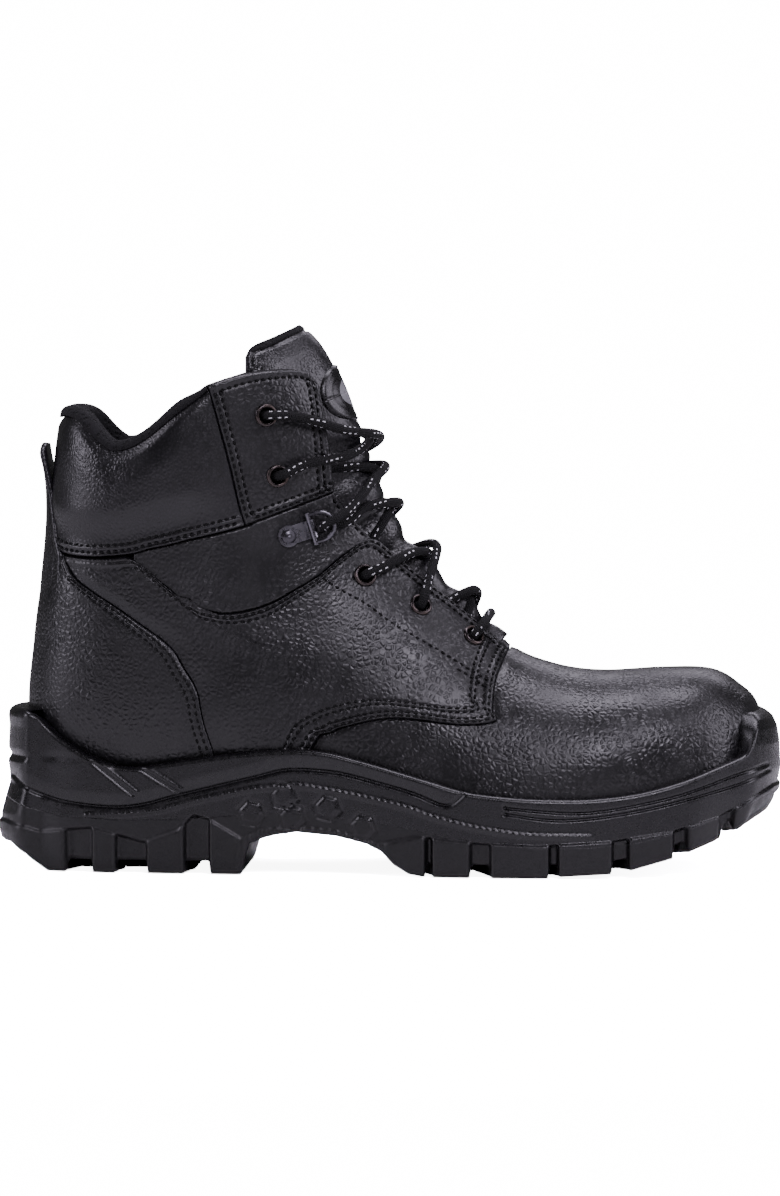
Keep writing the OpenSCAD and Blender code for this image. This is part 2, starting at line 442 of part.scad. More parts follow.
// ---- eyelets ----
module eyelet() {
  rotate_extrude() polygon([[eyelet_bore / 2, -3.2], [eyelet_bore / 2, 0.9], [eyelet_bore / 2 + 0.3, 1.2],
    [eyelet_flange / 2 - 0.4, 1.2], [eyelet_flange / 2, 0.8], [eyelet_flange / 2, 0.5],
    [eyelet_bore / 2 + 0.5, 0.5], [eyelet_bore / 2 + 0.5, -2.8], [eyelet_flange / 2 - 0.3, -2.8],
    [eyelet_flange / 2 - 0.3, -3.4], [eyelet_bore / 2 + 0.2, -3.4]]);
}
module eyelets(side) for (p = eyelet_spots) stand(p[0], side * p[1]) eyelet();
module eyelets_lateral() color("#55575c") eyelets(1);
module eyelets_medial() color("#55575c") eyelets(-1);

// ---- ring clips ----
clip_spot = spot(-39.8, 133.6);
// frame on the surface whose first axis points along the clip towards the front
module clip_frame(side) {
  s = clip_spot[0];
  b = side * clip_spot[1];
  p = skin(s, b);
  n = out(s, b);
  f = skin(0.701, side * 0.262) - p;
  t = unit(f - (f * n) * n);
  u = cross(n, t);
  multmatrix([[t[0], u[0], n[0], p[0]], [t[1], u[1], n[1], p[1]], [t[2], u[2], n[2], p[2]], [0, 0, 0, 1]])
    children();
}
plate_lift = 0.5;
bar_x = 9.4;
bar_z = plate_lift + 1 + ring_wire_d / 2 + 0.25;
module ring_clip() {
  difference() {
    union() {
      translate([0, 0, plate_lift]) linear_extrude(height = 0.9) difference() {
        union() {
          circle(d = 8.6);
          translate([0, -3.6]) square([bar_x, 7.2]);
        }
        circle(d = 3.4);
      }
      translate([bar_x, 3.6, bar_z]) rotate([90, 0, 0])
        linear_extrude(height = 7.2) difference() {
          circle(r = ring_wire_d / 2 + 1.15);
          circle(r = ring_wire_d / 2 + 0.25);
          translate([-4, -0.2]) square([4, 4]);
        }
    }
  }
}
module rivet() {
  rotate_extrude() polygon([[0, -3.3], [1.5, -3.3], [1.5, plate_lift + 1.05], [3.1, plate_lift + 1.05],
    [2.9, plate_lift + 1.7], [2.1, plate_lift + 2.3], [1, plate_lift + 2.6], [0, plate_lift + 2.7]]);
  translate([0, 0, -3.4]) cylinder(d = 6, h = 0.7);
}
module ring_clip_lateral() color("#5c5e63") clip_frame(1) ring_clip();
module ring_clip_medial() color("#5c5e63") clip_frame(-1) ring_clip();
module clip_rivet_lateral() color("#7b7d82") clip_frame(1) rivet();
module clip_rivet_medial() color("#7b7d82") clip_frame(-1) rivet();
ring_tilt = 18;
ring_half = 5.6;
ring_reach = 3.6;
arch = concat([[0, -ring_half, 0], [ring_reach * 0.6, -ring_half, 0]],
  [for (a = [-90:18:90]) [ring_reach + ring_half * cos(a), ring_half * sin(a), 0]],
  [[ring_reach * 0.6, ring_half, 0], [0, ring_half, 0]]);
module lace_ring() translate([bar_x, 0, bar_z]) rotate([0, -ring_tilt, 0]) {
  rotate([90, 0, 0]) cylinder(d = ring_wire_d, h = 2 * ring_half + ring_wire_d, center = true);
  tube(arch, ring_wire_d / 2 - 0.02, 8);
}
module lace_ring_lateral() color("#6a6c71") clip_frame(1) lace_ring();
module lace_ring_medial() color("#6a6c71") clip_frame(-1) lace_ring();

// ---- lace ----
// points through one eyelet, from the face the lace comes from to the other one
function through(i, side, from, to, inward) = let (e = eyelet_spots[i], p = skin(e[0], side * e[1]),
    n = out(e[0], side * e[1]), fa = from - p, ta = unit(fa - (fa * n) * n), fb = to - p,
    tb = unit(fb - (fb * n) * n),
    over = [p + ta * 5.2 + n * 3.7, p + ta * 2.6 + n * 3.6, p + ta * 0.76 + n * 2.84, p + n],
    under = [p - n * 2.9, p + tb * 0.76 - n * 4.74, p + tb * 2.6 - n * 5.5, p + tb * 5.2 - n * 5.6])
  inward ? concat(over, under)
    : let (over2 = [p + n, p + tb * 0.76 + n * 2.84, p + tb * 2.6 + n * 3.6, p + tb * 5.2 + n * 3.7],
        under2 = [p + ta * 5.2 - n * 5.6, p + ta * 2.6 - n * 5.5, p + ta * 0.76 - n * 4.74, p - n * 2.9])
      concat(under2, over2);
function on_tongue(s, b, o) = at(s, b, tongue_off(s, b) + lace_r + 0.7 + o);
// the run between two sides across the throat
function across(s0, b0, s1, b1, lift, low) = [for (t = [0.3, 0.42, 0.5, 0.58, 0.7])
  let (s = s0 + (s1 - s0) * t, b = b0 + (b1 - b0) * t, h = lift * (1 - pow(abs(2 * t - 1) / 0.6, 2)))
    low ? on_tongue(s, b, max(h, 0)) : at(s, b, 3.6 + max(h, 0))];
E = eyelet_spots;
function es(i, side) = at(E[i][0], side * E[i][1], 0);

function mid_dir(p, i) = let (n = len(p), a = p[max(i - 1, 0)], c = p[min(i + 1, n - 1)],
    l0 = max(norm(p[i] - a), 0.001), l1 = max(norm(c - p[i]), 0.001))
  i == 0 ? (c - p[i]) / l1 : i == n - 1 ? (p[i] - a) / l0
    : ((c - p[i]) / l1 * l0 + (p[i] - a) / l0 * l1) / (l0 + l1);
function hermite(a, b, u, v, t) = (2 * t * t * t - 3 * t * t + 1) * a + (t * t * t - 2 * t * t + t) * u
  + (3 * t * t - 2 * t * t * t) * b + (t * t * t - t * t) * v;
function flow(p, step) = concat([for (i = [0:len(p) - 2])
    let (l = norm(p[i + 1] - p[i]), n = max(1, ceil(l / step)), u = mid_dir(p, i) * l, v = mid_dir(p, i + 1) * l)
    for (j = [0:n - 1]) hermite(p[i], p[i + 1], u, v, j / n)], [p[len(p) - 1]]);
function carried(t) = [for (i = 0, u = unit(cross(t[0], [0.31, 0.2, 0.93])); i < len(t); i = i + 1,
    u = unit(u - (u * t[min(i, len(t) - 1)]) * t[min(i, len(t) - 1)])) u];
module tube(p, r, sides = 6) {
  t = [for (i = [0:len(p) - 1]) unit(p[min(i + 1, len(p) - 1)] - p[max(i - 1, 0)])];
  u = carried(t);
  k = len(p);
  pts = concat([for (i = [0:k - 1]) for (j = [0:sides - 1]) let (a = 360 * j / sides, w = cross(t[i], u[i]))
    p[i] + r * (cos(a) * u[i] + sin(a) * w)], [p[0], p[k - 1]]);
  function m(j) = (j + 1) % sides;
  polyhedron(pts, concat(
    [for (i = [0:k - 2], j = [0:sides - 1]) [i * sides + j, (i + 1) * sides + j, (i + 1) * sides + m(j)]],
    [for (i = [0:k - 2], j = [0:sides - 1]) [i * sides + j, (i + 1) * sides + m(j), i * sides + m(j)]],
    [for (j = [0:sides - 1]) [k * sides, j, m(j)]],
    [for (j = [0:sides - 1]) [k * sides + 1, (k - 1) * sides + m(j), (k - 1) * sides + j]]));
}
// ring clip position turned into a point: v goes up the boot on either side
function ring_pt(side, x, v, z) = let (s = clip_spot[0], b = side * clip_spot[1], p = skin(s, b),
    n = out(s, b), f = skin(0.701, side * 0.262) - p, t = unit(f - (f * n) * n), u = side * cross(n, t))
  p + x * t + v * u + z * n;
loop_r = 4.4;
ring_tip = bar_x + ring_reach + ring_half - 0.4;
ring_loop_z = 2.15 + loop_r;
function ring_loop(side) = [ring_pt(side, ring_tip + 3.4, -2, 2.4), ring_pt(side, ring_tip, -1.6, 2.15),
  ring_pt(side, ring_tip - loop_r * 0.71, -0.9, ring_loop_z - loop_r * 0.71),
  ring_pt(side, ring_tip - loop_r, 0, ring_loop_z),
  ring_pt(side, ring_tip - loop_r * 0.71, 0.9, ring_loop_z + loop_r * 0.71),
  ring_pt(side, ring_tip, 1.6, ring_loop_z + loop_r), ring_pt(side, ring_tip + 3.4, 2.2, ring_loop_z + loop_r - 1.2)];
// one half of the lace, from the lowest eyelet of one side up to its tucked end
function half_lace(side, cross_lift) = let (q = -side) concat(
  through(0, side, at(0.479, 0, 3.6), at(0.505, 0, 0), true),
  across(E[0][0], side * E[0][1], E[1][0], q * E[1][1], cross_lift, true),
  through(1, q, at(0.505, 0, 0), at(0.565, 0, 0), false),
  across(E[1][0], q * E[1][1], E[2][0], side * E[2][1], cross_lift, false),
  through(2, side, at(0.565, 0, 0), at(0.64, 0, 0), true),
  [on_tongue(0.628, side * 0.13, 0), on_tongue(0.64, side * 0.065, 0),
    on_tongue(0.652, 0, cross_lift), at(0.666, q * 0.065, 2.6 + cross_lift * 0.3),
    at(0.68, q * 0.13, 2.5)],
  ring_loop(q),
  [at(0.718, q * 0.085, 5), at(0.73, 0, 2.2 + cross_lift), on_tongue(0.744, side * 0.075, 0),
    on_tongue(0.757, side * 0.15, 0), on_tongue(0.768, side * 0.22, 0)],
  through(3, side, at(0.757, side * 0.15, 0), at(0.82, 0, 0), false),
  across(E[3][0], side * E[3][1], E[4][0], q * E[4][1], cross_lift, false),
  through(4, q, at(0.826, 0, 0), at(0.85, q * 0.38, 0), true),
  [for (t = [[0.84, 0.374], [0.815, 0.381], [0.785, 0.384], [0.75, 0.378], [0.71, 0.364],
    [0.68, 0.352], [0.665, 0.346]]) at(t[0], q * t[1], -5.6)]);
lace_a = half_lace(1, 0);
lace_b = half_lace(-1, 4.3);
lace_line = concat(turned(lace_b), [for (b = [-0.06, 0, 0.06]) at(0.479, b, 3.6)], lace_a);
module lace() color("#1c1c1f") tube(flow(lace_line, 6.2), lace_r);
module aglet(q) {
  e = at(0.665, q * 0.346, -5.6);
  d = unit(e - at(0.68, q * 0.352, -5.6));
  u = unit(cross(d, [0, 1, 0]));
  w = cross(d, u);
  p = e + d * 0.1;
  multmatrix([[u[0], w[0], d[0], p[0]], [u[1], w[1], d[1], p[1]], [u[2], w[2], d[2], p[2]], [0, 0, 0, 1]])
    rotate_extrude($fn = 24) polygon([[0, 0], [2, 0], [2, 13], [1.5, 14], [0, 14]]);
}
module aglets() color("#0f0f10") {
  aglet(-1);
  aglet(1);
}

seated() outsole();
seated() midsole();
seated() shank();
seated() lasting_board();
seated() footbed();
seated() toe_cap();
seated() cap_edge_strip();
seated() heel_counter();
seated() vamp();
seated() vamp_lining();
seated() quarter_lateral();
seated() quarter_medial();
seated() ankle_patch_lateral();
seated() ankle_patch_medial();
seated() eyelet_tab_lateral();
seated() eyelet_tab_medial();
seated() quarter_lining();
seated() collar();
seated() collar_foam();
seated() collar_lining();
seated() backstay();
seated() pull_tab();
seated() tongue();
seated() tongue_foam();
seated() tongue_lining();
seated() tongue_badge();
seated() eyelets_lateral();
seated() eyelets_medial();
seated() ring_clip_lateral();
seated() ring_clip_medial();
seated() clip_rivet_lateral();
seated() clip_rivet_medial();
seated() lace_ring_lateral();
seated() lace_ring_medial();
seated() lace();
seated() aglets();
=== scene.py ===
import copy
import math

import bpy
import numpy as np
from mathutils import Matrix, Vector


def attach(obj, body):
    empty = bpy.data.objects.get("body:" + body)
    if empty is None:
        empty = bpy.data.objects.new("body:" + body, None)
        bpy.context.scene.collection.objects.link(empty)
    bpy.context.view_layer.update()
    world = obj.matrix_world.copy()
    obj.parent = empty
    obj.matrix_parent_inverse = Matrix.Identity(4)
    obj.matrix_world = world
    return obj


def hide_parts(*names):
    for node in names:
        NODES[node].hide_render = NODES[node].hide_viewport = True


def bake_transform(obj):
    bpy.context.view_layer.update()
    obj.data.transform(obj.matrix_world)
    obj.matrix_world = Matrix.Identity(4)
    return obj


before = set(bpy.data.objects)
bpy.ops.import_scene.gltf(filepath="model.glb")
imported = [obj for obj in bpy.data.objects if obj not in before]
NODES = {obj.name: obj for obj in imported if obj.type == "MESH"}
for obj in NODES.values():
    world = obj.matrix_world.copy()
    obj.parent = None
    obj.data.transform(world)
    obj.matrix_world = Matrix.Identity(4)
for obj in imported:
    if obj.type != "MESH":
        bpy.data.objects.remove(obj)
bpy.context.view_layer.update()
# the surface below is written in mm about its own origin; SEAT moves it to the frame
SEAT = np.array([-1.32, -2.655, 0])

# ---------------------------------------------------------------- the surface
# one slanted section per row: front x and z, back x and z, half width, where it is widest,
# and the roundness of its front and back halves
FAN = np.array([
    [147.5, 41, 106, 20, 45, 0.96, 2.4, 3.2],
    [146, 57.5, 98, 19, 46.5, 0.94, 2.4, 3.2],
    [141, 70.5, 88, 18, 48, 0.91, 2.4, 3.2],
    [129, 79, 76, 17.3, 49, 0.87, 2.4, 3.2],
    [108, 80, 62, 17, 50, 0.84, 2.4, 3.2],
    [84, 79, 46, 17.5, 49.5, 0.82, 2.3, 3.2],
    [64, 82, 30, 19.5, 47.5, 0.79, 2.15, 3.1],
    [48, 89, 10, 23, 44, 0.76, 2.05, 3],
    [31, 105, -24, 28.5, 39.5, 0.7, 2, 3],
    [13, 122, -68, 29, 37, 0.6, 2, 3],
    [1, 137, -116, 31, 36.5, 0.54, 2, 2.9],
    [-6, 150, -141, 50, 36.5, 0.52, 2, 2.6],
    [-10.5, 163, -142, 92, 37, 0.53, 2.05, 2.4],
    [-15, 178, -138, 131, 38.5, 0.54, 2.1, 2.3],
    [-20, 192, -135.5, 160, 39.5, 0.54, 2.1, 2.2],
    [-27, 206, -132.5, 186, 40, 0.54, 2.1, 2.2],
    [-37, 220, -130, 210, 40, 0.54, 2.1, 2.2]])


def bend4(a, b, c, d, t):
    return 0.5 * (2 * b + (c - a) * t + (2 * a - 5 * b + 4 * c - d) * t * t
                  + (3 * b - a - 3 * c + d) * t ** 3)


def ease(t):
    t = np.clip(t, 0, 1)
    return t * t * (3 - 2 * t)


def toe_swing(x):
    """How far the middle line of the foot swings to the medial side towards the toe."""
    return 7 * ease((x - 10) / 140)


def fan_row(s):
    """The eight values of the section at s, each as an array."""
    n = len(FAN) - 1
    u = np.clip(s, 0, 1) * n
    i = np.minimum(np.floor(u).astype(int), n - 1)
    f = (u - i)[..., None]
    row = bend4(FAN[np.maximum(i - 1, 0)], FAN[i], FAN[i + 1], FAN[np.minimum(i + 2, n)], f)
    return np.moveaxis(row, -1, 0)


def skin(s, b):
    """Points of the upper in mm. b is 0 on the front ridge, 1 at the back or bottom."""
    s, b = np.broadcast_arrays(np.asarray(s, float), np.asarray(b, float))
    b = np.where(b > 1, b - 2, np.where(b < -1, b + 2, b))
    front_x, front_z, back_x, back_z, half, widest, front_round, back_round = fan_row(s)
    a = np.pi * np.abs(b)
    c, w = np.abs(np.cos(a)), np.maximum(np.sin(a), 0)
    front = np.abs(b) <= 0.5
    e = 2 / np.where(front, front_round, back_round)
    t = np.where(front, widest * (1 - c ** e), widest + (1 - widest) * c ** e)
    x = front_x + t * (back_x - front_x)
    z = front_z + t * (back_z - front_z)
    y = toe_swing(x) - np.sign(b) * half * w ** e
    return np.stack([x, y, z], -1)


def unit(v):
    return v / np.maximum(np.linalg.norm(v, axis=-1, keepdims=True), 1e-9)


def out(s, b):
    """Unit normals of the surface."""
    e = 0.003
    return unit(np.cross(skin(s + e, b) - skin(s - e, b), skin(s, b + e) - skin(s, b - e)))


def at(s, b, o):
    """Points o mm outside the surface."""
    s, b, o = np.broadcast_arrays(np.asarray(s, float), np.asarray(b, float), np.asarray(o, float))
    return skin(s, b) + o[..., None] * out(s, b)


def spot(x, z):
    """Side-view position in mm turned into (s, b)."""
    lo, hi = 0.0, 1.0
    for _ in range(40):
        mid = (lo + hi) / 2
        front_x, front_z, back_x, back_z = fan_row(np.array(mid))[:4]
        if (back_x - front_x) * (z - front_z) - (back_z - front_z) * (x - front_x) > 0:
            hi = mid
        else:
            lo = mid
    front_x, front_z, back_x, back_z, _, widest, front_round, back_round = fan_row(np.array(lo))
    dx, dz = back_x - front_x, back_z - front_z
    t = min(max(((x - front_x) * dx + (z - front_z) * dz) / (dx * dx + dz * dz), 0), 1)
    if t <= widest:
        a = math.acos((1 - t / widest) ** (front_round / 2))
    else:
        a = math.pi - math.acos(((t - widest) / (1 - widest)) ** (back_round / 2))
    return [lo, a / math.pi]


def spots(points):
    return [spot(x, z) for x, z in points]


def medial(points):
    return [[s, -b] for s, b in points]


def round_back(points):
    return [[s, 2 - b] for s, b in points]


def lengths(points):
    """Distance along a line of points, from its start."""
    return np.concatenate([[0], np.cumsum(np.linalg.norm(np.diff(points, axis=0), axis=1))])


def smooth_line(points, k=12):
    p = np.asarray(points, float)
    n = len(p)
    res = []
    for i in range(n - 1):
        for j in range(k):
            res.append(bend4(p[max(i - 1, 0)], p[i], p[i + 1], p[min(i + 2, n - 1)], j / k))
    return np.array(res + [p[-1]])


class Edge:
    """A curve on the surface, looked up by fraction of its length."""

    def __init__(self, points):
        self.p = smooth_line(points)
        self.l = lengths(skin(self.p[:, 0], self.p[:, 1]))
        self.length = self.l[-1]
        self.a, self.z = np.array(points[0]), np.array(points[-1])

    def __call__(self, t):
        d = np.asarray(t) * self.length
        return np.stack([np.interp(d, self.l, self.p[:, k]) for k in (0, 1)], -1)


# the grid of a panel is this fine, within this distance of its sewn edges
FINE_STEP, FINE_BAND = 0.5, 12.5
FAR = 99.0


def steps(length, coarse, fine_lo, fine_hi):
    """Fractions of a length, close together near its fine ends."""
    pos, res = 0.0, [0.0]
    while pos < length:
        near = min(pos if fine_lo else FAR, length - pos if fine_hi else FAR)
        pos += FINE_STEP if near < FINE_BAND else min(coarse, FINE_STEP + (near - FINE_BAND) * 0.5)
        res.append(pos)
    return np.clip(np.array(res) / res[-1], 0, 1)


class Patch:
    """A four-sided leather panel on the surface, with distances in mm from its edges."""

    def __init__(self, lo, hi, st, en, fine=("lo", "hi", "st", "en"), coarse=1.7):
        L, H, S, E = Edge(lo), Edge(hi), Edge(st), Edge(en)
        u = steps((L.length + H.length) / 2, coarse, "st" in fine, "en" in fine)
        v = steps((S.length + E.length) / 2, coarse, "lo" in fine, "hi" in fine)
        U, V = u[None, :, None], v[:, None, None]
        g = ((1 - V) * L(u)[None] + V * H(u)[None] + (1 - U) * S(v)[:, None] + U * E(v)[:, None]
             - ((1 - U) * (1 - V) * L.a + U * (1 - V) * L.z + (1 - U) * V * H.a + U * V * H.z))
        self.s, self.b = g[..., 0], g[..., 1]
        self.u, self.v = np.broadcast_arrays(u[None, :], v[:, None])
        p = skin(self.s, self.b)
        dv = np.linalg.norm(np.diff(p, axis=0), axis=2)
        du = np.linalg.norm(np.diff(p, axis=1), axis=2)
        z0, z1 = np.zeros((1, p.shape[1])), np.zeros((p.shape[0], 1))
        self.d = {"lo": np.vstack([z0, np.cumsum(dv, 0)]),
                  "hi": np.vstack([np.cumsum(dv[::-1], 0)[::-1], z0]),
                  "st": np.hstack([z1, np.cumsum(du, 1)]),
                  "en": np.hstack([np.cumsum(du[:, ::-1], 1)[:, ::-1], z1])}
        self.base = p
        self.off = np.zeros(p.shape[:2])

    def raise_by(self, h, edges=(), tuck=()):
        """Height h, rolled down at edges and tucked under at tuck."""
        o = np.full(self.off.shape, float(h))
        for e in tuck:
            o *= ease(self.d[e] / 9) * 0.85 + 0.15
        for e in edges:
            o -= (h + 0.9) * (1 - ease(self.d[e] / 1.5)) ** 2
        self.off = self.off + o
        return self

    def wave(self, amount, scale):
        """Gentle unevenness, as leather has over a last."""
        x, y, z = (self.base[..., k] / scale for k in range(3))
        n = (np.sin(x / 9.1 + 2 * np.sin(z / 13)) * np.sin(z / 7.3 + y / 11) + np.sin(x / 23 - z / 17)
             + 0.6 * np.sin(z / 5.1 - x / 6.3) * np.sin(x / 8.7))
        self.off = self.off + amount * 0.5 * n
        return self

    def outer(self):
        return at(self.s, self.b, self.off)

    def row_line(self, edge, dist, trim=(0, 0)):
        """Outer points and normals on a line dist mm inside an edge."""
        P = self.outer()
        N = out(self.s, self.b)
        d = self.d[edge]
        n = P.shape[1] if edge in ("lo", "hi") else P.shape[0]
        pts, nrm = [], []
        for i in range(n):
            part = (slice(None), i) if edge in ("lo", "hi") else i
            di, Pi, Ni = d[part], P[part], N[part]
            if di[0] > di[-1]:
                di, Pi, Ni = di[::-1], Pi[::-1], Ni[::-1]
            if di[-1] < dist:
                continue
            pts.append([np.interp(dist, di, Pi[:, k]) for k in range(3)])
            nrm.append([np.interp(dist, di, Ni[:, k]) for k in range(3)])
        pts, nrm = np.array(pts), unit(np.array(nrm))
        l = lengths(pts)
        keep = (l >= trim[0]) & (l <= l[-1] - trim[1])
        return pts[keep], nrm[keep]


# ---------------------------------------------------------------- mesh helpers
def mesh_object(name, verts, quads, mat, tris=(), uv=None):
    """A smooth mesh; verts in mm, before the move to the frame."""
    me = bpy.data.meshes.new(name)
    verts = (np.asarray(verts, float) + SEAT) * 0.001
    quads = np.asarray(quads, int).reshape(-1, 4)
    tris = np.asarray(tris, int).reshape(-1, 3)
    me.vertices.add(len(verts))
    me.vertices.foreach_set("co", verts.ravel())
    me.loops.add(quads.size + tris.size)
    me.loops.foreach_set("vertex_index", np.concatenate([quads.ravel(), tris.ravel()]))
    me.polygons.add(len(quads) + len(tris))
    starts = np.concatenate([np.arange(len(quads)) * 4, quads.size + np.arange(len(tris)) * 3])
    me.polygons.foreach_set("loop_start", starts)
    me.polygons.foreach_set("use_smooth", np.full(len(quads) + len(tris), True))
    if uv is not None:
        layer = me.uv_layers.new(name="UVMap")
        layer.data.foreach_set("uv", np.asarray(uv, float).ravel())
    me.update(calc_edges=True)
    me.validate()
    me.materials.append(mat)
    ob = bpy.data.objects.new(name, me)
    bpy.context.scene.collection.objects.link(ob)
    return ob


def thick(A, B, keep=None, flip=False):
    """Closed solid between two grids with the same layout; keep masks the cells."""
    m, n = A.shape[:2]
    if keep is None:
        keep = np.ones((m - 1, n - 1), bool)
    k = m * n
    idx = np.arange(k).reshape(m, n)
    j, i = np.nonzero(keep)
    a, b, c, d = idx[j, i], idx[j, i + 1], idx[j + 1, i + 1], idx[j + 1, i]
    quads = [np.stack([a, d, c, b], -1), np.stack([a + k, b + k, c + k, d + k], -1)]
    pad = np.pad(keep, 1)
    for dj, di, e0, e1 in ((-1, 0, (0, 0), (0, 1)), (1, 0, (1, 1), (1, 0)),
                           (0, -1, (1, 0), (0, 0)), (0, 1, (0, 1), (1, 1))):
        edge = keep & ~pad[1 + dj:m + dj, 1 + di:n + di]
        j, i = np.nonzero(edge)
        p, q = idx[j + e0[0], i + e0[1]], idx[j + e1[0], i + e1[1]]
        quads.append(np.stack([p, q, q + k, p + k], -1))
    quads = np.concatenate(quads)
    if flip:
        quads = quads[:, ::-1]
    verts = np.concatenate([A.reshape(-1, 3), B.reshape(-1, 3)])
    used = np.unique(quads)
    remap = np.full(len(verts), -1)
    remap[used] = np.arange(len(used))
    return verts[used], remap[quads]


HOLE_R = 3.2


def punched(patch, holes, depth):
    """Outer and inner grids of a panel, with round eyelet holes at the given (s, b)."""
    A, B = patch.outer(), at(patch.s, patch.b, -depth)
    inside = np.zeros(A.shape[:2], bool)
    for s, b in holes:
        c, n = skin(s, b), out(s, b)
        rel = A - c
        flat = rel - (rel @ n)[..., None] * n
        r = np.linalg.norm(flat, axis=-1)
        near = r < HOLE_R + 0.5
        inside |= near
        shift = unit(flat) * HOLE_R - flat
        for G in (A, B):
            G[near] += shift[near]
    keep = ~(inside[:-1, :-1] & inside[1:, :-1] & inside[:-1, 1:] & inside[1:, 1:])
    return A, B, keep


def mirrored(patch):
    other = copy.copy(patch)
    other.b = -patch.b
    return other


def parts_of(groups):
    """Join (verts, quads) groups."""
    V, Q, k = [], [], 0
    for v, q in groups:
        V.append(v)
        Q.append(q + k)
        k += len(v)
    return np.concatenate(V), np.concatenate(Q)


def closed_quads(rings, n, flip=False, wrap=False):
    """Quads between consecutive rings of n vertices, and from the last to the first if wrapped."""
    i = np.arange(n)
    k = (i + 1) % n
    q = [np.stack([r * n + i, r * n + k, (r + 1) * n + k, (r + 1) * n + i], -1)
         for r in range(rings - 1)]
    if wrap:
        last = (rings - 1) * n
        q.append(np.stack([last + i, last + k, k, i], -1))
    q = np.concatenate(q)
    return q[:, ::-1] if flip else q


STITCHES = []
STITCH_PITCH, STITCH_LENGTH, STITCH_R = 2.9, 2.2, 0.5
# across one stitch, from hole to hole: where, how fat and how high each of its rings is
STITCH_AT = (0, 0.12, 0.35, 0.65, 0.88, 1)
STITCH_FAT = np.array([0.25, 0.7, 1, 1, 0.7, 0.25])[:, None] * STITCH_R
STITCH_LIFT = np.array([-0.5, -0.1, 0.12, 0.12, -0.1, -0.5])[:, None] - 0.1
STITCH_TURN = 0.12


def stitch(line):
    """A row of stitches along (points, normals), each turned a little from the next."""
    pts, nrm = line
    l = lengths(pts)
    count = int(l[-1] / STITCH_PITCH)
    shift = (l[-1] - count * STITCH_PITCH) / 2
    n_rings = n_around = 6
    for i in range(count):
        a = shift + i * STITCH_PITCH + (STITCH_PITCH - STITCH_LENGTH) / 2
        d = np.array([a + STITCH_LENGTH * t for t in STITCH_AT])
        c = np.stack([np.interp(d, l, pts[:, k]) for k in range(3)], -1)
        n = unit(np.stack([np.interp(d, l, nrm[:, k]) for k in range(3)], -1))
        t = unit(np.gradient(c, axis=0))
        side = unit(np.cross(t, n))
        turn = STITCH_TURN * math.sin(i * 2.4)
        c = c + side * (turn * np.linspace(-1, 1, n_rings))[:, None]
        ring = [c + n * STITCH_LIFT + STITCH_FAT * (math.cos(q) * side + math.sin(q) * n)
                for q in np.linspace(0, 2 * math.pi, n_around, endpoint=False)]
        V = np.stack(ring, 1)
        quads = closed_quads(n_rings, n_around).tolist()
        last = (n_rings - 1) * n_around
        quads += [[0, 3, 2, 1], [0, 5, 4, 3]]
        quads += [[last, last + 1, last + 2, last + 3], [last, last + 3, last + 4, last + 5]]
        STITCHES.append((V.reshape(-1, 3), np.array(quads)))


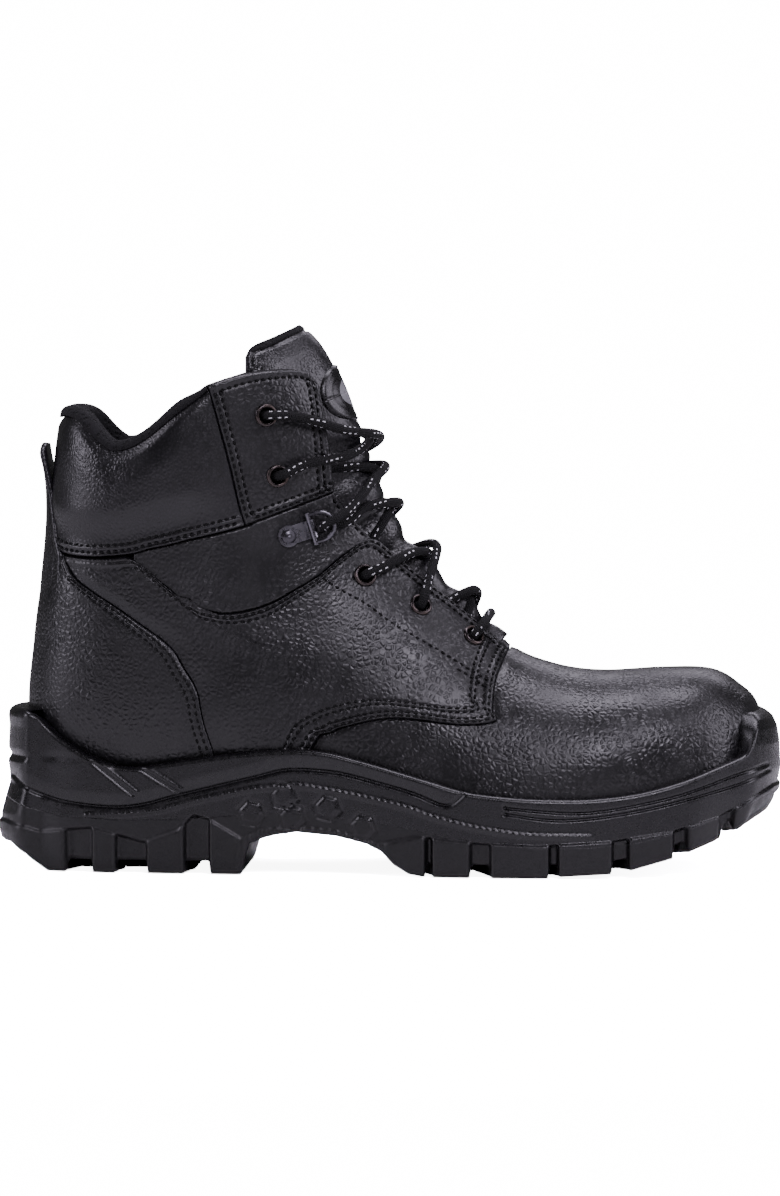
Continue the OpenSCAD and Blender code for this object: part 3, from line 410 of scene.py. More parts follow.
# ---------------------------------------------------------------- materials
class Nodes:
    """A short way to write a node tree."""

    def __init__(self, name):
        self.mat = bpy.data.materials.new(name)
        self.mat.use_nodes = True
        self.tree = self.mat.node_tree
        self.bsdf = self.tree.nodes["Principled BSDF"]
        self.coord = self.add("TexCoord")

    def add(self, kind, **values):
        node = self.tree.nodes.new("ShaderNode" + kind)
        for key, value in values.items():
            setattr(node, key, value)
        return node

    def link(self, a, b):
        self.tree.links.new(a, b)

    def noise(self, scale, detail=3.0, rough=0.55, vector=None):
        n = self.add("TexNoise")
        n.inputs["Scale"].default_value = scale
        n.inputs["Detail"].default_value = detail
        n.inputs["Roughness"].default_value = rough
        self.link(vector or self.coord.outputs["Object"], n.inputs["Vector"])
        return n

    def cells(self, scale, feature="DISTANCE_TO_EDGE", vector=None):
        n = self.add("TexVoronoi", feature=feature)
        n.inputs["Scale"].default_value = scale
        self.link(vector or self.coord.outputs["Object"], n.inputs["Vector"])
        return n

    def bent(self, scale, amount):
        """Object coordinates pushed about by noise."""
        n = self.noise(scale, 2)
        add = self.add("VectorMath", operation="MULTIPLY_ADD")
        add.inputs[1].default_value = (amount,) * 3
        self.link(n.outputs["Color"], add.inputs[0])
        self.link(self.coord.outputs["Object"], add.inputs[2])
        return add.outputs[0]

    def span(self, value, a, b, lo=0.0, hi=1.0):
        """lo below a, hi above b, with a soft step between."""
        n = self.add("MapRange", interpolation_type="SMOOTHSTEP")
        for k, v in zip(("From Min", "From Max", "To Min", "To Max"), (a, b, lo, hi)):
            n.inputs[k].default_value = v
        self.link(value, n.inputs["Value"])
        return n.outputs["Result"]

    def math(self, op, a, b=None, c=None):
        n = self.add("Math", operation=op)
        for i, v in enumerate((a, b, c)):
            if v is None:
                continue
            if isinstance(v, (int, float)):
                n.inputs[i].default_value = v
            else:
                self.link(v, n.inputs[i])
        return n.outputs[0]

    def mix(self, fac, a, b):
        """Colour a turning into b. The RGBA sockets of the node are 6 and 7, its result is 2."""
        n = self.add("Mix", data_type="RGBA")
        self.link(fac, n.inputs[0])
        for i, v in ((6, a), (7, b)):
            if isinstance(v, tuple):
                n.inputs[i].default_value = (*v, 1)
            else:
                self.link(v, n.inputs[i])
        return n.outputs[2]

    def bump(self, height, distance):
        n = self.add("Bump")
        n.inputs["Distance"].default_value = distance
        n.inputs["Strength"].default_value = 1
        self.link(height, n.inputs["Height"])
        return n.outputs["Normal"]

    def finish(self, color, rough, normal, **sockets):
        self.link(color, self.bsdf.inputs["Base Color"])
        self.link(rough, self.bsdf.inputs["Roughness"])
        self.link(normal, self.bsdf.inputs["Normal"])
        for key, value in sockets.items():
            self.bsdf.inputs[key.replace("_", " ")].default_value = value
        return self.mat

    def worn(self, color, edge, lo=0.52, hi=0.62, amount=0.6):
        """Lighter colour on convex edges."""
        geo = self.add("NewGeometry")
        fac = self.span(geo.outputs["Pointiness"], lo, hi, 0, amount)
        return self.mix(fac, color, edge)


def shade(base, k, top=1.0):
    """The base colour made k times lighter or darker."""
    return tuple(min(c * k, top) for c in base)


def leather(name, base, cell, depth, rough, fine, crease):
    """Pebbled cells with pores on top, broad creases, and painted shade between the cells."""
    t = Nodes(name)
    v = t.bent(210, 0.0006)
    big = t.cells(cell, vector=v)
    small = t.cells(cell * 2.2, vector=v)
    area = t.noise(38, 4)
    grain = t.math("MULTIPLY", t.span(big.outputs["Distance"], 0, 0.4),
                   t.span(area.outputs["Fac"], 0.32, 0.68, 0.45, 1.1))
    pores = t.span(small.outputs["Distance"], 0, 0.35)
    folds = t.noise(90, 3, 0.5, t.bent(30, 0.012))
    height = t.math("MULTIPLY_ADD", pores, 0.22 * fine, grain)
    height = t.math("MULTIPLY_ADD", folds.outputs["Fac"], crease, height)
    normal = t.bump(height, depth)
    tone = t.span(area.outputs["Fac"], 0.25, 0.75)
    color = t.mix(tone, shade(base, 0.82), shade(base, 1.18))
    # painted shade: the valleys between the pebbles are coloured darker
    color = t.mix(t.span(big.outputs["Distance"], 0, 0.14), shade(base, 0.4), color)
    color = t.worn(color, shade(base, 2.0))
    r = t.span(t.noise(55, 3).outputs["Fac"], 0.3, 0.7, rough - 0.05, rough + 0.06)
    return t.finish(color, r, normal, Specular_IOR_Level=0.5)


def rubber(name, base, rough, depth=0.00006):
    """Satin rubber with scuffs and paler worn edges."""
    t = Nodes(name)
    fine = t.noise(2600, 2)
    broad = t.noise(45, 4)
    scuff = t.noise(420, 6, 0.7, t.bent(40, 0.01))
    height = t.math("MULTIPLY_ADD", broad.outputs["Fac"], 1.5, fine.outputs["Fac"])
    color = t.mix(t.span(broad.outputs["Fac"], 0.3, 0.7), shade(base, 0.8),
                  shade(base, 1.2))
    color = t.mix(t.span(scuff.outputs["Fac"], 0.6, 0.8, 0, 0.35), color, shade(base, 2))
    color = t.worn(color, shade(base, 2.4), 0.53, 0.66, 0.5)
    r = t.span(scuff.outputs["Fac"], 0.3, 0.75, rough - 0.07, rough + 0.12)
    return t.finish(color, r, t.bump(height, depth), Specular_IOR_Level=0.5)


def mesh_fabric(name, base, pitch=0.0021):
    """Spacer mesh: small rounded holes between knitted threads, with painted shade in the holes."""
    t = Nodes(name)
    v = t.bent(500, 0.0002)
    hole = t.cells(1 / pitch, "F1", v)
    thread = t.noise(5200, 2, 0.6)
    d = t.span(hole.outputs["Distance"], 0.18, 0.5)
    height = t.math("MULTIPLY_ADD", thread.outputs["Fac"], 0.25, d)
    # painted shade: the holes are coloured darker
    color = t.mix(d, shade(base, 0.3), base)
    color = t.mix(t.span(thread.outputs["Fac"], 0.35, 0.7, 0, 0.5), color, shade(base, 1.9))
    r = t.span(thread.outputs["Fac"], 0.3, 0.7, 0.8, 0.95)
    return t.finish(color, r, t.bump(height, 0.0005), Specular_IOR_Level=0.3)


def woven(name, base, scale, depth=0.0002, rough=0.85):
    """Crossed threads with fuzz, with painted shade in the dips and painted highlight on the crowns."""
    t = Nodes(name)
    split = t.add("SeparateXYZ")
    t.link(t.bent(300, 0.0003), split.inputs[0])
    a, b, c = [t.math("SINE", t.math("MULTIPLY", part, scale * 2)) for part in split.outputs]
    weave = t.math("MULTIPLY_ADD", b, c, t.math("MULTIPLY", a, t.math("SUBTRACT", b, c)))
    fuzz = t.noise(3200, 3)
    height = t.math("MULTIPLY_ADD", fuzz.outputs["Fac"], 0.6, weave)
    # painted shade and highlight: darker in the dips of the weave, lighter on its crowns
    color = t.mix(t.span(height, -0.6, 1.2), shade(base, 0.55), shade(base, 1.25))
    r = t.span(fuzz.outputs["Fac"], 0.3, 0.7, rough - 0.06, min(rough + 0.08, 1))
    return t.finish(color, r, t.bump(height, depth), Specular_IOR_Level=0.25)


def metal(name, base, rough, tint=None):
    """Plated metal with cloudy patches and bright edges."""
    t = Nodes(name)
    fine = t.noise(1400, 3)
    patch = t.noise(160, 5, 0.65)
    color = t.mix(t.span(patch.outputs["Fac"], 0.35, 0.7), shade(base, 0.8), tint or base)
    color = t.worn(color, shade(base, 2.5, 0.9), 0.52, 0.6, 0.7)
    r = t.span(patch.outputs["Fac"], 0.3, 0.75, rough - 0.07, rough + 0.15)
    return t.finish(color, r, t.bump(fine.outputs["Fac"], 0.00002), Metallic=1.0)


def lace_braid():
    """Round braid. U is the length in lace diameters, V goes once round."""
    t = Nodes("lace_braid")
    split = t.add("SeparateXYZ")
    t.link(t.coord.outputs["UV"], split.inputs[0])
    u, v = split.outputs[0], split.outputs[1]
    strands, lay = 2 * math.pi * 8, 2 * math.pi * 2.6
    turn = t.math("MULTIPLY", v, strands)
    a = t.math("SINE", t.math("MULTIPLY_ADD", u, lay, turn))
    b = t.math("SINE", t.math("SUBTRACT", t.math("MULTIPLY", u, lay), turn))
    plait = t.math("MULTIPLY", a, b)
    fuzz = t.noise(4200, 3)
    height = t.math("MULTIPLY_ADD", fuzz.outputs["Fac"], 0.5, plait)
    # white flecks: clusters of short dashes in two rows on either side of the cord
    cluster = t.math("LESS_THAN", t.math("FRACT", t.math("MULTIPLY", u, 0.235)), 0.48)
    step = t.math("FRACT", t.math("MULTIPLY", u, 1.42))
    dash = t.math("LESS_THAN", t.math("ABSOLUTE", t.math("SUBTRACT", step, 0.5)), 0.22)
    row_at = t.math("FRACT", t.math("MULTIPLY_ADD", v, 4.0, t.math("MULTIPLY", u, 0.12)))
    row = t.math("LESS_THAN", t.math("ABSOLUTE", t.math("SUBTRACT", row_at, 0.5)), 0.095)
    fleck = t.math("MULTIPLY", t.math("MULTIPLY", cluster, dash), row)
    # painted shade and highlight: darker in the dips of the plait, lighter on its crowns
    color = t.mix(t.span(height, -0.8, 1.1), (0.001, 0.001, 0.0013), (0.0048, 0.0046, 0.0056))
    color = t.mix(fleck, color, (0.72, 0.72, 0.74))
    r = t.span(fuzz.outputs["Fac"], 0.3, 0.7, 0.72, 0.9)
    return t.finish(color, r, t.bump(height, 0.00025), Specular_IOR_Level=0.3)


def plain(name, base, rough, scale=900.0, depth=0.00006):
    """Foam, board and moulded plastic."""
    t = Nodes(name)
    n = t.noise(scale, 4)
    w = t.noise(70, 3)
    color = t.mix(t.span(w.outputs["Fac"], 0.3, 0.7), shade(base, 0.75),
                  shade(base, 1.2))
    color = t.mix(t.span(n.outputs["Fac"], 0.45, 0.75, 0, 0.3), color, shade(base, 0.5))
    r = t.span(n.outputs["Fac"], 0.3, 0.7, rough - 0.06, min(rough + 0.08, 1))
    return t.finish(color, r, t.bump(n.outputs["Fac"], depth))


PEBBLED = leather("leather_pebbled", (0.0034, 0.003, 0.0042), 470, 0.00015, 0.35, 0.25, 0.14)
SMOOTH = leather("leather_smooth", (0.0044, 0.0039, 0.0054), 640, 0.0001, 0.33, 0.5, 0.5)
SOLE = rubber("rubber_satin", (0.0024, 0.0021, 0.003), 0.29)
TREAD = rubber("rubber_tread", (0.0018, 0.0016, 0.0022), 0.38, 0.0001)
MESH = mesh_fabric("mesh_black", (0.003, 0.0028, 0.0036))
THREAD = woven("thread_black", (0.0011, 0.001, 0.0014), 2600, 0.0001, 0.8)
LACE = lace_braid()
GUNMETAL = metal("gunmetal", (0.055, 0.05, 0.052), 0.26, (0.085, 0.066, 0.06))
DARK_METAL = metal("gunmetal_dark", (0.085, 0.082, 0.092), 0.28)
STEEL = metal("steel_plain", (0.5, 0.51, 0.53), 0.35)
FOAM = plain("foam_grey", (0.12, 0.12, 0.13), 0.95, 2400, 0.0004)
BOARD = woven("board_fibre", (0.42, 0.34, 0.24), 800, 0.0002, 0.9)
COUNTER = plain("counter_board", (0.4, 0.37, 0.31), 0.8)
CLOTH = woven("footbed_cloth", (0.035, 0.035, 0.038), 1300, 0.00025)
BADGE = plain("badge_rubber", (0.16, 0.16, 0.17), 0.42, 1200, 0.00004)
PLASTIC = plain("aglet_plastic", (0.012, 0.012, 0.013), 0.3)


# ---------------------------------------------------------------- panel lines, in side-view mm
FEATHER = spots([[144, 40], [138, 37.4], [128, 33.5], [112, 28], [92, 24.5], [70, 24], [48, 25],
                 [26, 27.5], [4, 32], [-14, 36.5], [-32, 38.5], [-50, 38.5], [-67, 37.5],
                 [-85, 36.5], [-103, 36.5], [-118, 38], [-130, 43], [-138, 49]])
FEATHER_BACK = [0.69, 1]
VAMP_SEAM = spots([[-32, 38.5], [-28, 52.8], [-21, 56.4], [-3.8, 61.2], [10.2, 61.6], [42.2, 60.8]])
FACING_LOW = [[0.408, 0.334], [0.417, 0.307], [0.432, 0.229], [0.437, 0.136], [0.438, 0.075]]
FACING_EDGE = [[0.438, 0.075], [0.455, 0.08], [0.49, 0.09], [0.54, 0.105], [0.59, 0.125],
               [0.633, 0.15]]
PATCH_FRONT = [[0.633, 0.15], [0.68, 0.17], [0.729, 0.195]]
TAB_FRONT = [[0.729, 0.195], [0.806, 0.181], [0.869, 0.168], [0.895, 0.178]]
PATCH_LOW = spots([[-100.6, 124.6], [-87, 113.4], [-79, 106.6], [-70.6, 104], [-60.6, 103.6],
                   [-47.4, 107], [-36.6, 112.8], [-27.4, 118.4], [-18.2, 126]]) + [[0.633, 0.15]]
COLLAR_LOW = spots([[-129.6, 126], [-112.6, 125], [-100.6, 126.4], [-94.6, 128.2],
                    [-83, 130.8], [-56.6, 137.4]])
TAB_LOW = spots([[-56.6, 137.4], [-51.8, 139.6], [-36.6, 145.2]]) + [[0.729, 0.195]]
TAB_REAR = spots([[-56.6, 137.4], [-60.6, 152.4], [-65.4, 172.4], [-71.4, 193.8]])
TAB_TOP = spots([[-71.4, 193.8], [-56.6, 198.4], [-42, 200]]) + [[0.917, 0.2], [0.895, 0.178]]
BACK_EDGE = spots([[-67, 37.5], [-69.8, 50.4], [-74.6, 68.8], [-82.2, 84], [-88.6, 92],
                   [-97.4, 98.4], [-106.6, 104.8], [-116.6, 111.2], [-125, 117.6], [-129.6, 126]])
COLLAR_TOP = spots([[-71.4, 193.8], [-90.6, 177.2], [-100.6, 170.4], [-108.6, 168.4],
                    [-112.6, 170], [-124, 180.2]])
EYELET_SPOTS = spots([[33, 93.2], [12.2, 105.6], [-9.8, 117.6], [-44.2, 157.6], [-48.6, 181.6]])


def panel_object(name, outer, inner, mat, node, keep=None, flip=False):
    v, q = thick(outer, inner, keep, flip)
    ob = mesh_object(name, v, q, mat)
    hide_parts(node)
    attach(ob, "boot")
    return ob


SIDES = ((1, "lateral"), (-1, "medial"))
PANEL_DEPTH = 2


def side_panels(p, name, node, depth=PANEL_DEPTH, eyelets=()):
    """The lateral panel and its mirror image, with a hole for each eyelet."""
    for side, end in SIDES:
        q = p if side > 0 else mirrored(p)
        A, B, keep = punched(q, [(s, side * b) for s, b in eyelets], depth)
        panel_object(name + end, A, B, PEBBLED, node + end, keep, side < 0)


def all_round(p, name, mat, node, depth=PANEL_DEPTH):
    """One panel that reaches round both sides."""
    return panel_object(name, p.outer(), at(p.s, p.b, -depth), mat, node)


def press(patch, line):
    """A groove along a line of points."""
    depth, width = 0.55, 0.6
    P = patch.outer()
    best = np.full(P.shape[:2], FAR)
    for c in line[::2]:
        best = np.minimum(best, np.linalg.norm(P - c, axis=-1))
    patch.off = patch.off - depth * np.exp(-(best / width) ** 2)


def sew(patch, edge, dists, trim, both=True):
    """Stitch rows at the given distances inside an edge, with a soft ridge between each pair."""
    d = patch.d[edge]
    patch.off = patch.off + 0.3 * np.exp(-((d - 0.45 * dists[0]) / 0.5) ** 2)
    for a, b in zip(dists[::2], dists[1::2]):
        patch.off = patch.off + 0.4 * np.exp(-((d - (a + b) / 2) / 0.7) ** 2)
    sides = (patch, mirrored(patch)) if both else (patch,)
    for d in dists:
        lines = [p.row_line(edge, d, trim) for p in sides]
        press(patch, lines[0][0])
        for line in lines:
            stitch(line)


def sew_line(patch, points, off):
    """Stitches along a line on the surface, on both sides of the boot."""
    e = Edge(points)
    s, b = e(np.linspace(0, 1, max(int(e.length / 0.8), 4))).T
    press(patch, at(s, b, off))
    for side, _ in SIDES:
        stitch((at(s, side * b, off), out(s, side * b)))


def make_vamp():
    rear = VAMP_SEAM + FACING_LOW[1:] + [[0.436, 0]]
    rear = rear + medial((VAMP_SEAM + FACING_LOW[1:])[::-1])
    side = [[0.012, 0.12]] + FEATHER[1:11]
    # the rear edge goes on under the quarters
    p = Patch(side[::-1], medial(side[::-1]), rear, [[0.012, 0.12], [0.012, 0], [0.012, -0.12]],
              fine=("st",), coarse=1.5)
    p.raise_by(0.0).wave(0.3, 1.3)
    p.off -= 0.5 * (1 - ease(p.d["st"] / 3))
    # full over the rim of the steel cap
    p.off += 2.4 * ease((p.base[..., 0] - 136) / 10) * ease((82 - p.base[..., 2]) / 16)
    all_round(p, "vamp_leather", PEBBLED, "vamp")


def make_quarter():
    top = COLLAR_LOW[:2] + PATCH_LOW + FACING_EDGE[:5][::-1]
    p = Patch(spots([[-67, 37.5], [-50, 38.5]]) + [VAMP_SEAM[0]], top, BACK_EDGE,
              VAMP_SEAM + FACING_LOW[1:], coarse=1.6)
    p.raise_by(0.9, edges=("hi", "en"), tuck=("st",)).wave(0.3, 1.2)
    sew(p, "en", (2.0, 4.4, 8.6, 11.0), (3, 2))
    sew(p, "hi", (2.0, 4.4), (26, 2))
    low = spots([[-27.4, 117.6], [-10.8, 107.6], [1.4, 98.8], [11, 93.2], [24.6, 85.2], [41, 75.6]])
    sew_line(p, low, 0.9)
    sew_line(p, spots([[26.5, 81.2], [33.2, 77.4], [39.4, 73.4]]), 0.9)
    side_panels(p, "quarter_leather_", "quarter_", 2.2, EYELET_SPOTS[:3])


def make_ankle_patch():
    p = Patch(PATCH_LOW, COLLAR_LOW[2:5] + TAB_LOW, [PATCH_LOW[0], COLLAR_LOW[2]], PATCH_FRONT)
    p.raise_by(0.15, edges=("en",), tuck=("lo", "hi")).wave(0.25, 1.2)
    sew(p, "en", (2.2,), (1, 1))
    side_panels(p, "ankle_leather_", "ankle_patch_")


def make_eyelet_tab():
    p = Patch(TAB_LOW, TAB_TOP, TAB_REAR, TAB_FRONT, coarse=1.4)
    p.raise_by(1.3, edges=("lo", "hi", "st", "en")).wave(0.3, 0.9)
    sew(p, "st", (1.8, 4.2), (1.5, 3))
    sew(p, "lo", (1.8, 4.2), (5, 1))
    sew(p, "en", (4.6, 7.4), (1.5, 6))
    sew(p, "hi", (4.0,), (4, 5))
    side_panels(p, "eyelet_tab_leather_", "eyelet_tab_", 2.2, EYELET_SPOTS[3:])


COLLAR_BAND = COLLAR_LOW[::-1] + [[0.806, 0.9], [0.8, 1], [0.806, 1.1]] + round_back(COLLAR_LOW)
COLLAR_RIM = COLLAR_TOP + [[0.927, 0.9], [0.925, 1], [0.927, 1.1]] + round_back(COLLAR_TOP)[::-1]


def make_collar():
    p = Patch(COLLAR_BAND, COLLAR_RIM, TAB_REAR, round_back(TAB_REAR), coarse=1.6)
    # padded between its band and its top edge
    height = p.d["lo"] + p.d["hi"]
    band = 6.5
    puff = 2.6 * ease((p.d["lo"] - band) / 14) * np.minimum(1, (height / 45)) ** 0.7
    puff *= ease(p.d["st"] / 30) * ease(p.d["en"] / 30)
    puff *= 0.3 + 0.7 * ease(p.d["hi"] / 16)
    p.raise_by(0.9, edges=("lo",), tuck=("st", "en"))
    at_back = np.exp(-((np.abs(p.b) - 1) / 0.16) ** 2)
    p.off += puff * (1 - 0.85 * at_back) - 1.1 * at_back - 2.2 * (1 - ease(p.d["hi"] / 9)) ** 3
    p.off += 0.45 * np.exp(-((p.d["lo"] - 4.3) / 0.9) ** 2)
    p.wave(0.35, 1.5)
    sew(p, "lo", (2.2, 4.9), (1, 1), both=False)
    ob = all_round(p, "collar_leather", SMOOTH, "collar", 1.6)


def make_backstay():
    low = FEATHER[12:] + [FEATHER_BACK] + round_back(FEATHER[12:])[::-1]
    top = [COLLAR_LOW[0], [0.804, 0.9], [0.8, 1], [0.804, 1.1], round_back([COLLAR_LOW[0]])[0]]
    p = Patch(low, top, BACK_EDGE, round_back(BACK_EDGE), coarse=1.7)
    p.raise_by(1.0, edges=("st", "en"), tuck=("hi",)).wave(0.3, 1.5)
    # the counter makes the heel fuller low down at the back
    p.off += 1.9 * np.exp(-((np.abs(p.b) - 1) / 0.14) ** 2 - ((p.base[..., 2] - 62) / 32) ** 2)
    for edge in ("st", "en"):
        sew(p, edge, (2.2, 4.8), (4, 12), both=False)
    all_round(p, "backstay_leather", PEBBLED, "backstay")


make_vamp()
make_quarter()
make_ankle_patch()
make_eyelet_tab()
make_collar()
make_backstay()


# ---------------------------------------------------------------- the sole
LIP = np.array([[-140.6, 54.4], [-131.4, 48], [-119.4, 44], [-107, 42.4], [-97, 42.4], [-80.2, 45.2],
                [-63.8, 47.6], [-42.6, 49.6], [-26.2, 49.2], [-10.6, 45.6], [3.8, 41.6],
                [17.8, 37.6], [32.2, 33.6], [51, 31.6], [66, 31], [82.6, 31.2], [100.6, 33.4],
                [118.2, 38], [132.6, 43.4], [141.5, 47]])
JOIN = [[-156, 30], [-143, 25], [-130, 22], [-103, 21], [-77, 22], [-50, 24.5], [-32, 24.5], [4, 20],
        [32, 14.5], [58, 12], [80, 12], [100, 14], [120, 19], [140, 26], [155, 33]]
# how much higher the lip is round the heel
HEEL_RISE = [[-160, 10], [-149, 10], [-146, 9.6], [-140.6, 8], [-131.4, 5.4], [-121, 2.8],
             [-109, 0.4], [-100, 0], [160, 0]]
LUG = 5.0
# bottoms of the lugs and of the arch, front to back, and the gaps between the lugs
BOTTOM = [[-150, 11], [-143, 5], [-136, 0], [-58, 0], [-54.6, 12.5], [-46, 15.5], [-36, 17],
          [-20, 15.6], [-8, 12.6], [-2, 9.6], [3, 4.6], [9, 1], [14, 0.2], [19, 0], [64.6, 0],
          [69, 0.6], [89.4, 1.6], [96, 2.8], [113.4, 7.6], [119, 9.6], [132.2, 14.6], [138.2, 17.6],
          [150, 24.5], [154.6, 31]]
GAPS = [[-128.6, -117.8], [-108.2, -95.8], [-80.6, -70.6], [15.6, 18.2], [33.4, 41.4], [64.6, 68.2],
        [89.4, 95.8], [113.4, 118.8], [132.2, 138]]
TREAD_TOP = [[-150, 20], [-139, 16.4], [-118, 18.6], [-97, 13], [-83, 18], [-77, 24], [-71, 22.6],
             [-57, 14.6], [-50, 18], [-36, 19.4], [-20, 18], [-4, 13], [13, 16.6], [33, 14.4],
             [60, 13.4], [88, 15], [112, 18.6], [132, 24], [153, 35]]
# thickness of the cup wall at the sides, the heel and the toe
WALL, HEEL_WALL, TOE_WALL = 6.0, 11.0, 8.5
GROOVE = [[-151.4, 37.2], [-143.4, 32.4], [-130.2, 28], [-110.2, 26], [-97, 27.2], [-83.8, 30.8],
          [-53, 38.4], [-39, 41.6], [-20.6, 40.8], [-3.4, 36.8], [11, 32.8], [23, 28.4],
          [29, 31.6], [33, 36.6]]
RIDGE = [[-120, 22.6], [-103.4, 23.6], [-90.2, 25.2], [-77, 28.8], [-57, 33.2], [-47.8, 34.4],
         [-32.2, 35.2], [3.8, 28.4], [17.8, 24], [32.2, 20.4], [46.6, 18], [57.8, 16.8], [81, 16.4]]
TWIN_HIGH = [[47, 27.6], [71.8, 25.6], [86.2, 26.4], [100.6, 28.8], [115, 32], [129, 36.4],
             [138.2, 39.6], [150, 43]]
TWIN_LOW = [[47.4, 25.2], [69.8, 22.8], [98.2, 26], [132.6, 34], [145, 38], [151, 40.6]]
CHEVRONS = [[[-117, 43.6], [-101.4, 31.2]], [[-99, 42], [-83.4, 32.4]]]
PADS = [[-53.8, 24.4], [-40.6, 31.2], [-37.4, 22.8], [-23.4, 26.8], [-9.4, 19.2]]
# front of the toe bumper and back of the heel, as z against how far they stand back
TOE_SIDE = [[16, 12], [20, 9], [26, 4.5], [32, 1.4], [41, 0], [51, 0.5], [57, 1.5], [60.4, 3], [63, 6]]
HEEL_SIDE = [[2, 3], [8, -1.2], [15, -3.2], [22, -3.2], [28, -1.6], [34, 0.2], [43, 0], [45.5, 1.6],
             [48, 0.2], [57, 0.6], [61, 0.2], [64, 0.8]]


def table(points, x, smooth=False):
    """Height at x on a line through the points, straight or smooth between them."""
    p = np.array(sorted(points), float) if isinstance(points, list) else points
    p = smooth_line(p, 6) if smooth else p
    return np.interp(x, p[:, 0], p[:, 1])


def near_curve(points, x, z, width):
    """1 on a curve z(x), fading over the width and past the curve's ends; and the distance above it."""
    xs = [p[0] for p in points]
    inside = ease((x - min(xs)) / 1.2 + 1) * ease((max(xs) - x) / 1.2 + 1)
    slope = table(points, x + 0.5, True) - table(points, x - 0.5, True)
    d = (z - table(points, x, True)) / np.sqrt(1 + slope * slope)
    return inside * np.exp(-(d / width) ** 2), d


def near_segment(a, b, x, z, width):
    """1 on a straight line from a to b, fading over the width."""
    a, b = np.array(a), np.array(b)
    t = np.clip(((x - a[0]) * (b[0] - a[0]) + (z - a[1]) * (b[1] - a[1])) / ((b - a) @ (b - a)), 0, 1)
    d = np.hypot(x - a[0] - t * (b[0] - a[0]), z - a[1] - t * (b[1] - a[1]))
    return np.exp(-(d / width) ** 2)


def hexagon(x, z, c, r):
    """Distance outside a hexagon of inner radius r about c."""
    q = np.maximum.reduce([np.abs((x - c[0]) * math.cos(k) + (z - c[1]) * math.sin(k))
                           for k in (0.3, 0.3 + math.pi / 3, 0.3 + 2 * math.pi / 3)])
    return q - r


def gap_at(x, soft):
    """1 in the gaps between the lugs, 0 on the lugs."""
    g = np.zeros(np.shape(x))
    for a, b in GAPS:
        g = np.maximum(g, ease((x - a) / soft + 0.5) * ease((b - x) / soft + 0.5))
    return g


def ripple(x, pitch, phase=0.0):
    """A wave from 0 to 1 along x."""
    return 0.5 + 0.5 * np.sin(x * 2 * math.pi / pitch + phase)


def wall_offset(x, z, toe, heel):
    """How far the side wall stands out from the plain outline, in mm."""
    d = np.zeros(x.shape)
    # the long groove, with the wall above it a little fuller behind the toe
    g, dist = near_curve(GROOVE, x, z, 0.65)
    d -= 1.1 * g
    above = ease(dist / 6)
    d += 0.5 * np.where(x < 30, 1, 0) * above * ease((30 - x) / 14)
    # the ridge with its row of ticks
    g, dist = near_curve(RIDGE, x, z, 0.9)
    d += 0.75 * g
    ticks = ripple(x, 2.6, dist * 1.4)
    d -= 0.35 * g * ticks
    # the two grooves at the toe, joined at their rear end
    for line in (TWIN_HIGH, TWIN_LOW):
        g, dist = near_curve(line, x, z, 0.55)
        d -= 0.95 * g
    d -= 0.9 * near_segment([47, 28.4], [47, 25], x, z, 0.6)
    # slanted cuts at the heel, each with a raised edge
    for a, b in CHEVRONS:
        d -= 0.55 * near_segment(a, b, x, z, 0.7)
        d += 0.45 * near_segment([a[0] + 1.6, a[1] + 1], [b[0] + 1.6, b[1] + 1], x, z, 0.8)
    # raised hexagons over the arch
    for c in PADS:
        h = hexagon(x, z, c, 3.6)
        d += 0.55 * ease((0.6 - h) / 1.0) - 0.45 * np.exp(-((h - 1.2) / 0.5) ** 2)
    # walls between the lugs stand back, the lugs stand proud
    top = table(TREAD_TOP, x)
    deep = gap_at(x, 1.6) * ease((top - z) / 1.6)
    arch = ease((x + 60) / 4) * ease((2 - x) / 6)
    proud = ease((top - z) / 1.4) * (1 - arch)
    d += 1.0 * proud - 3.2 * deep
    ribs = ripple(x, 3.4)
    d += 0.6 * arch * ease((top + 1 - z) / 2) * ribs
    d -= toe * table(TOE_SIDE, z) + heel * table(HEEL_SIDE, z)
    return d


# the sections of the upper that the outline follows round the heel and the toe
HEEL_S, TOE_S = 0.698, 0.04
# length of one step round the outline
OUTLINE_STEP = 0.62


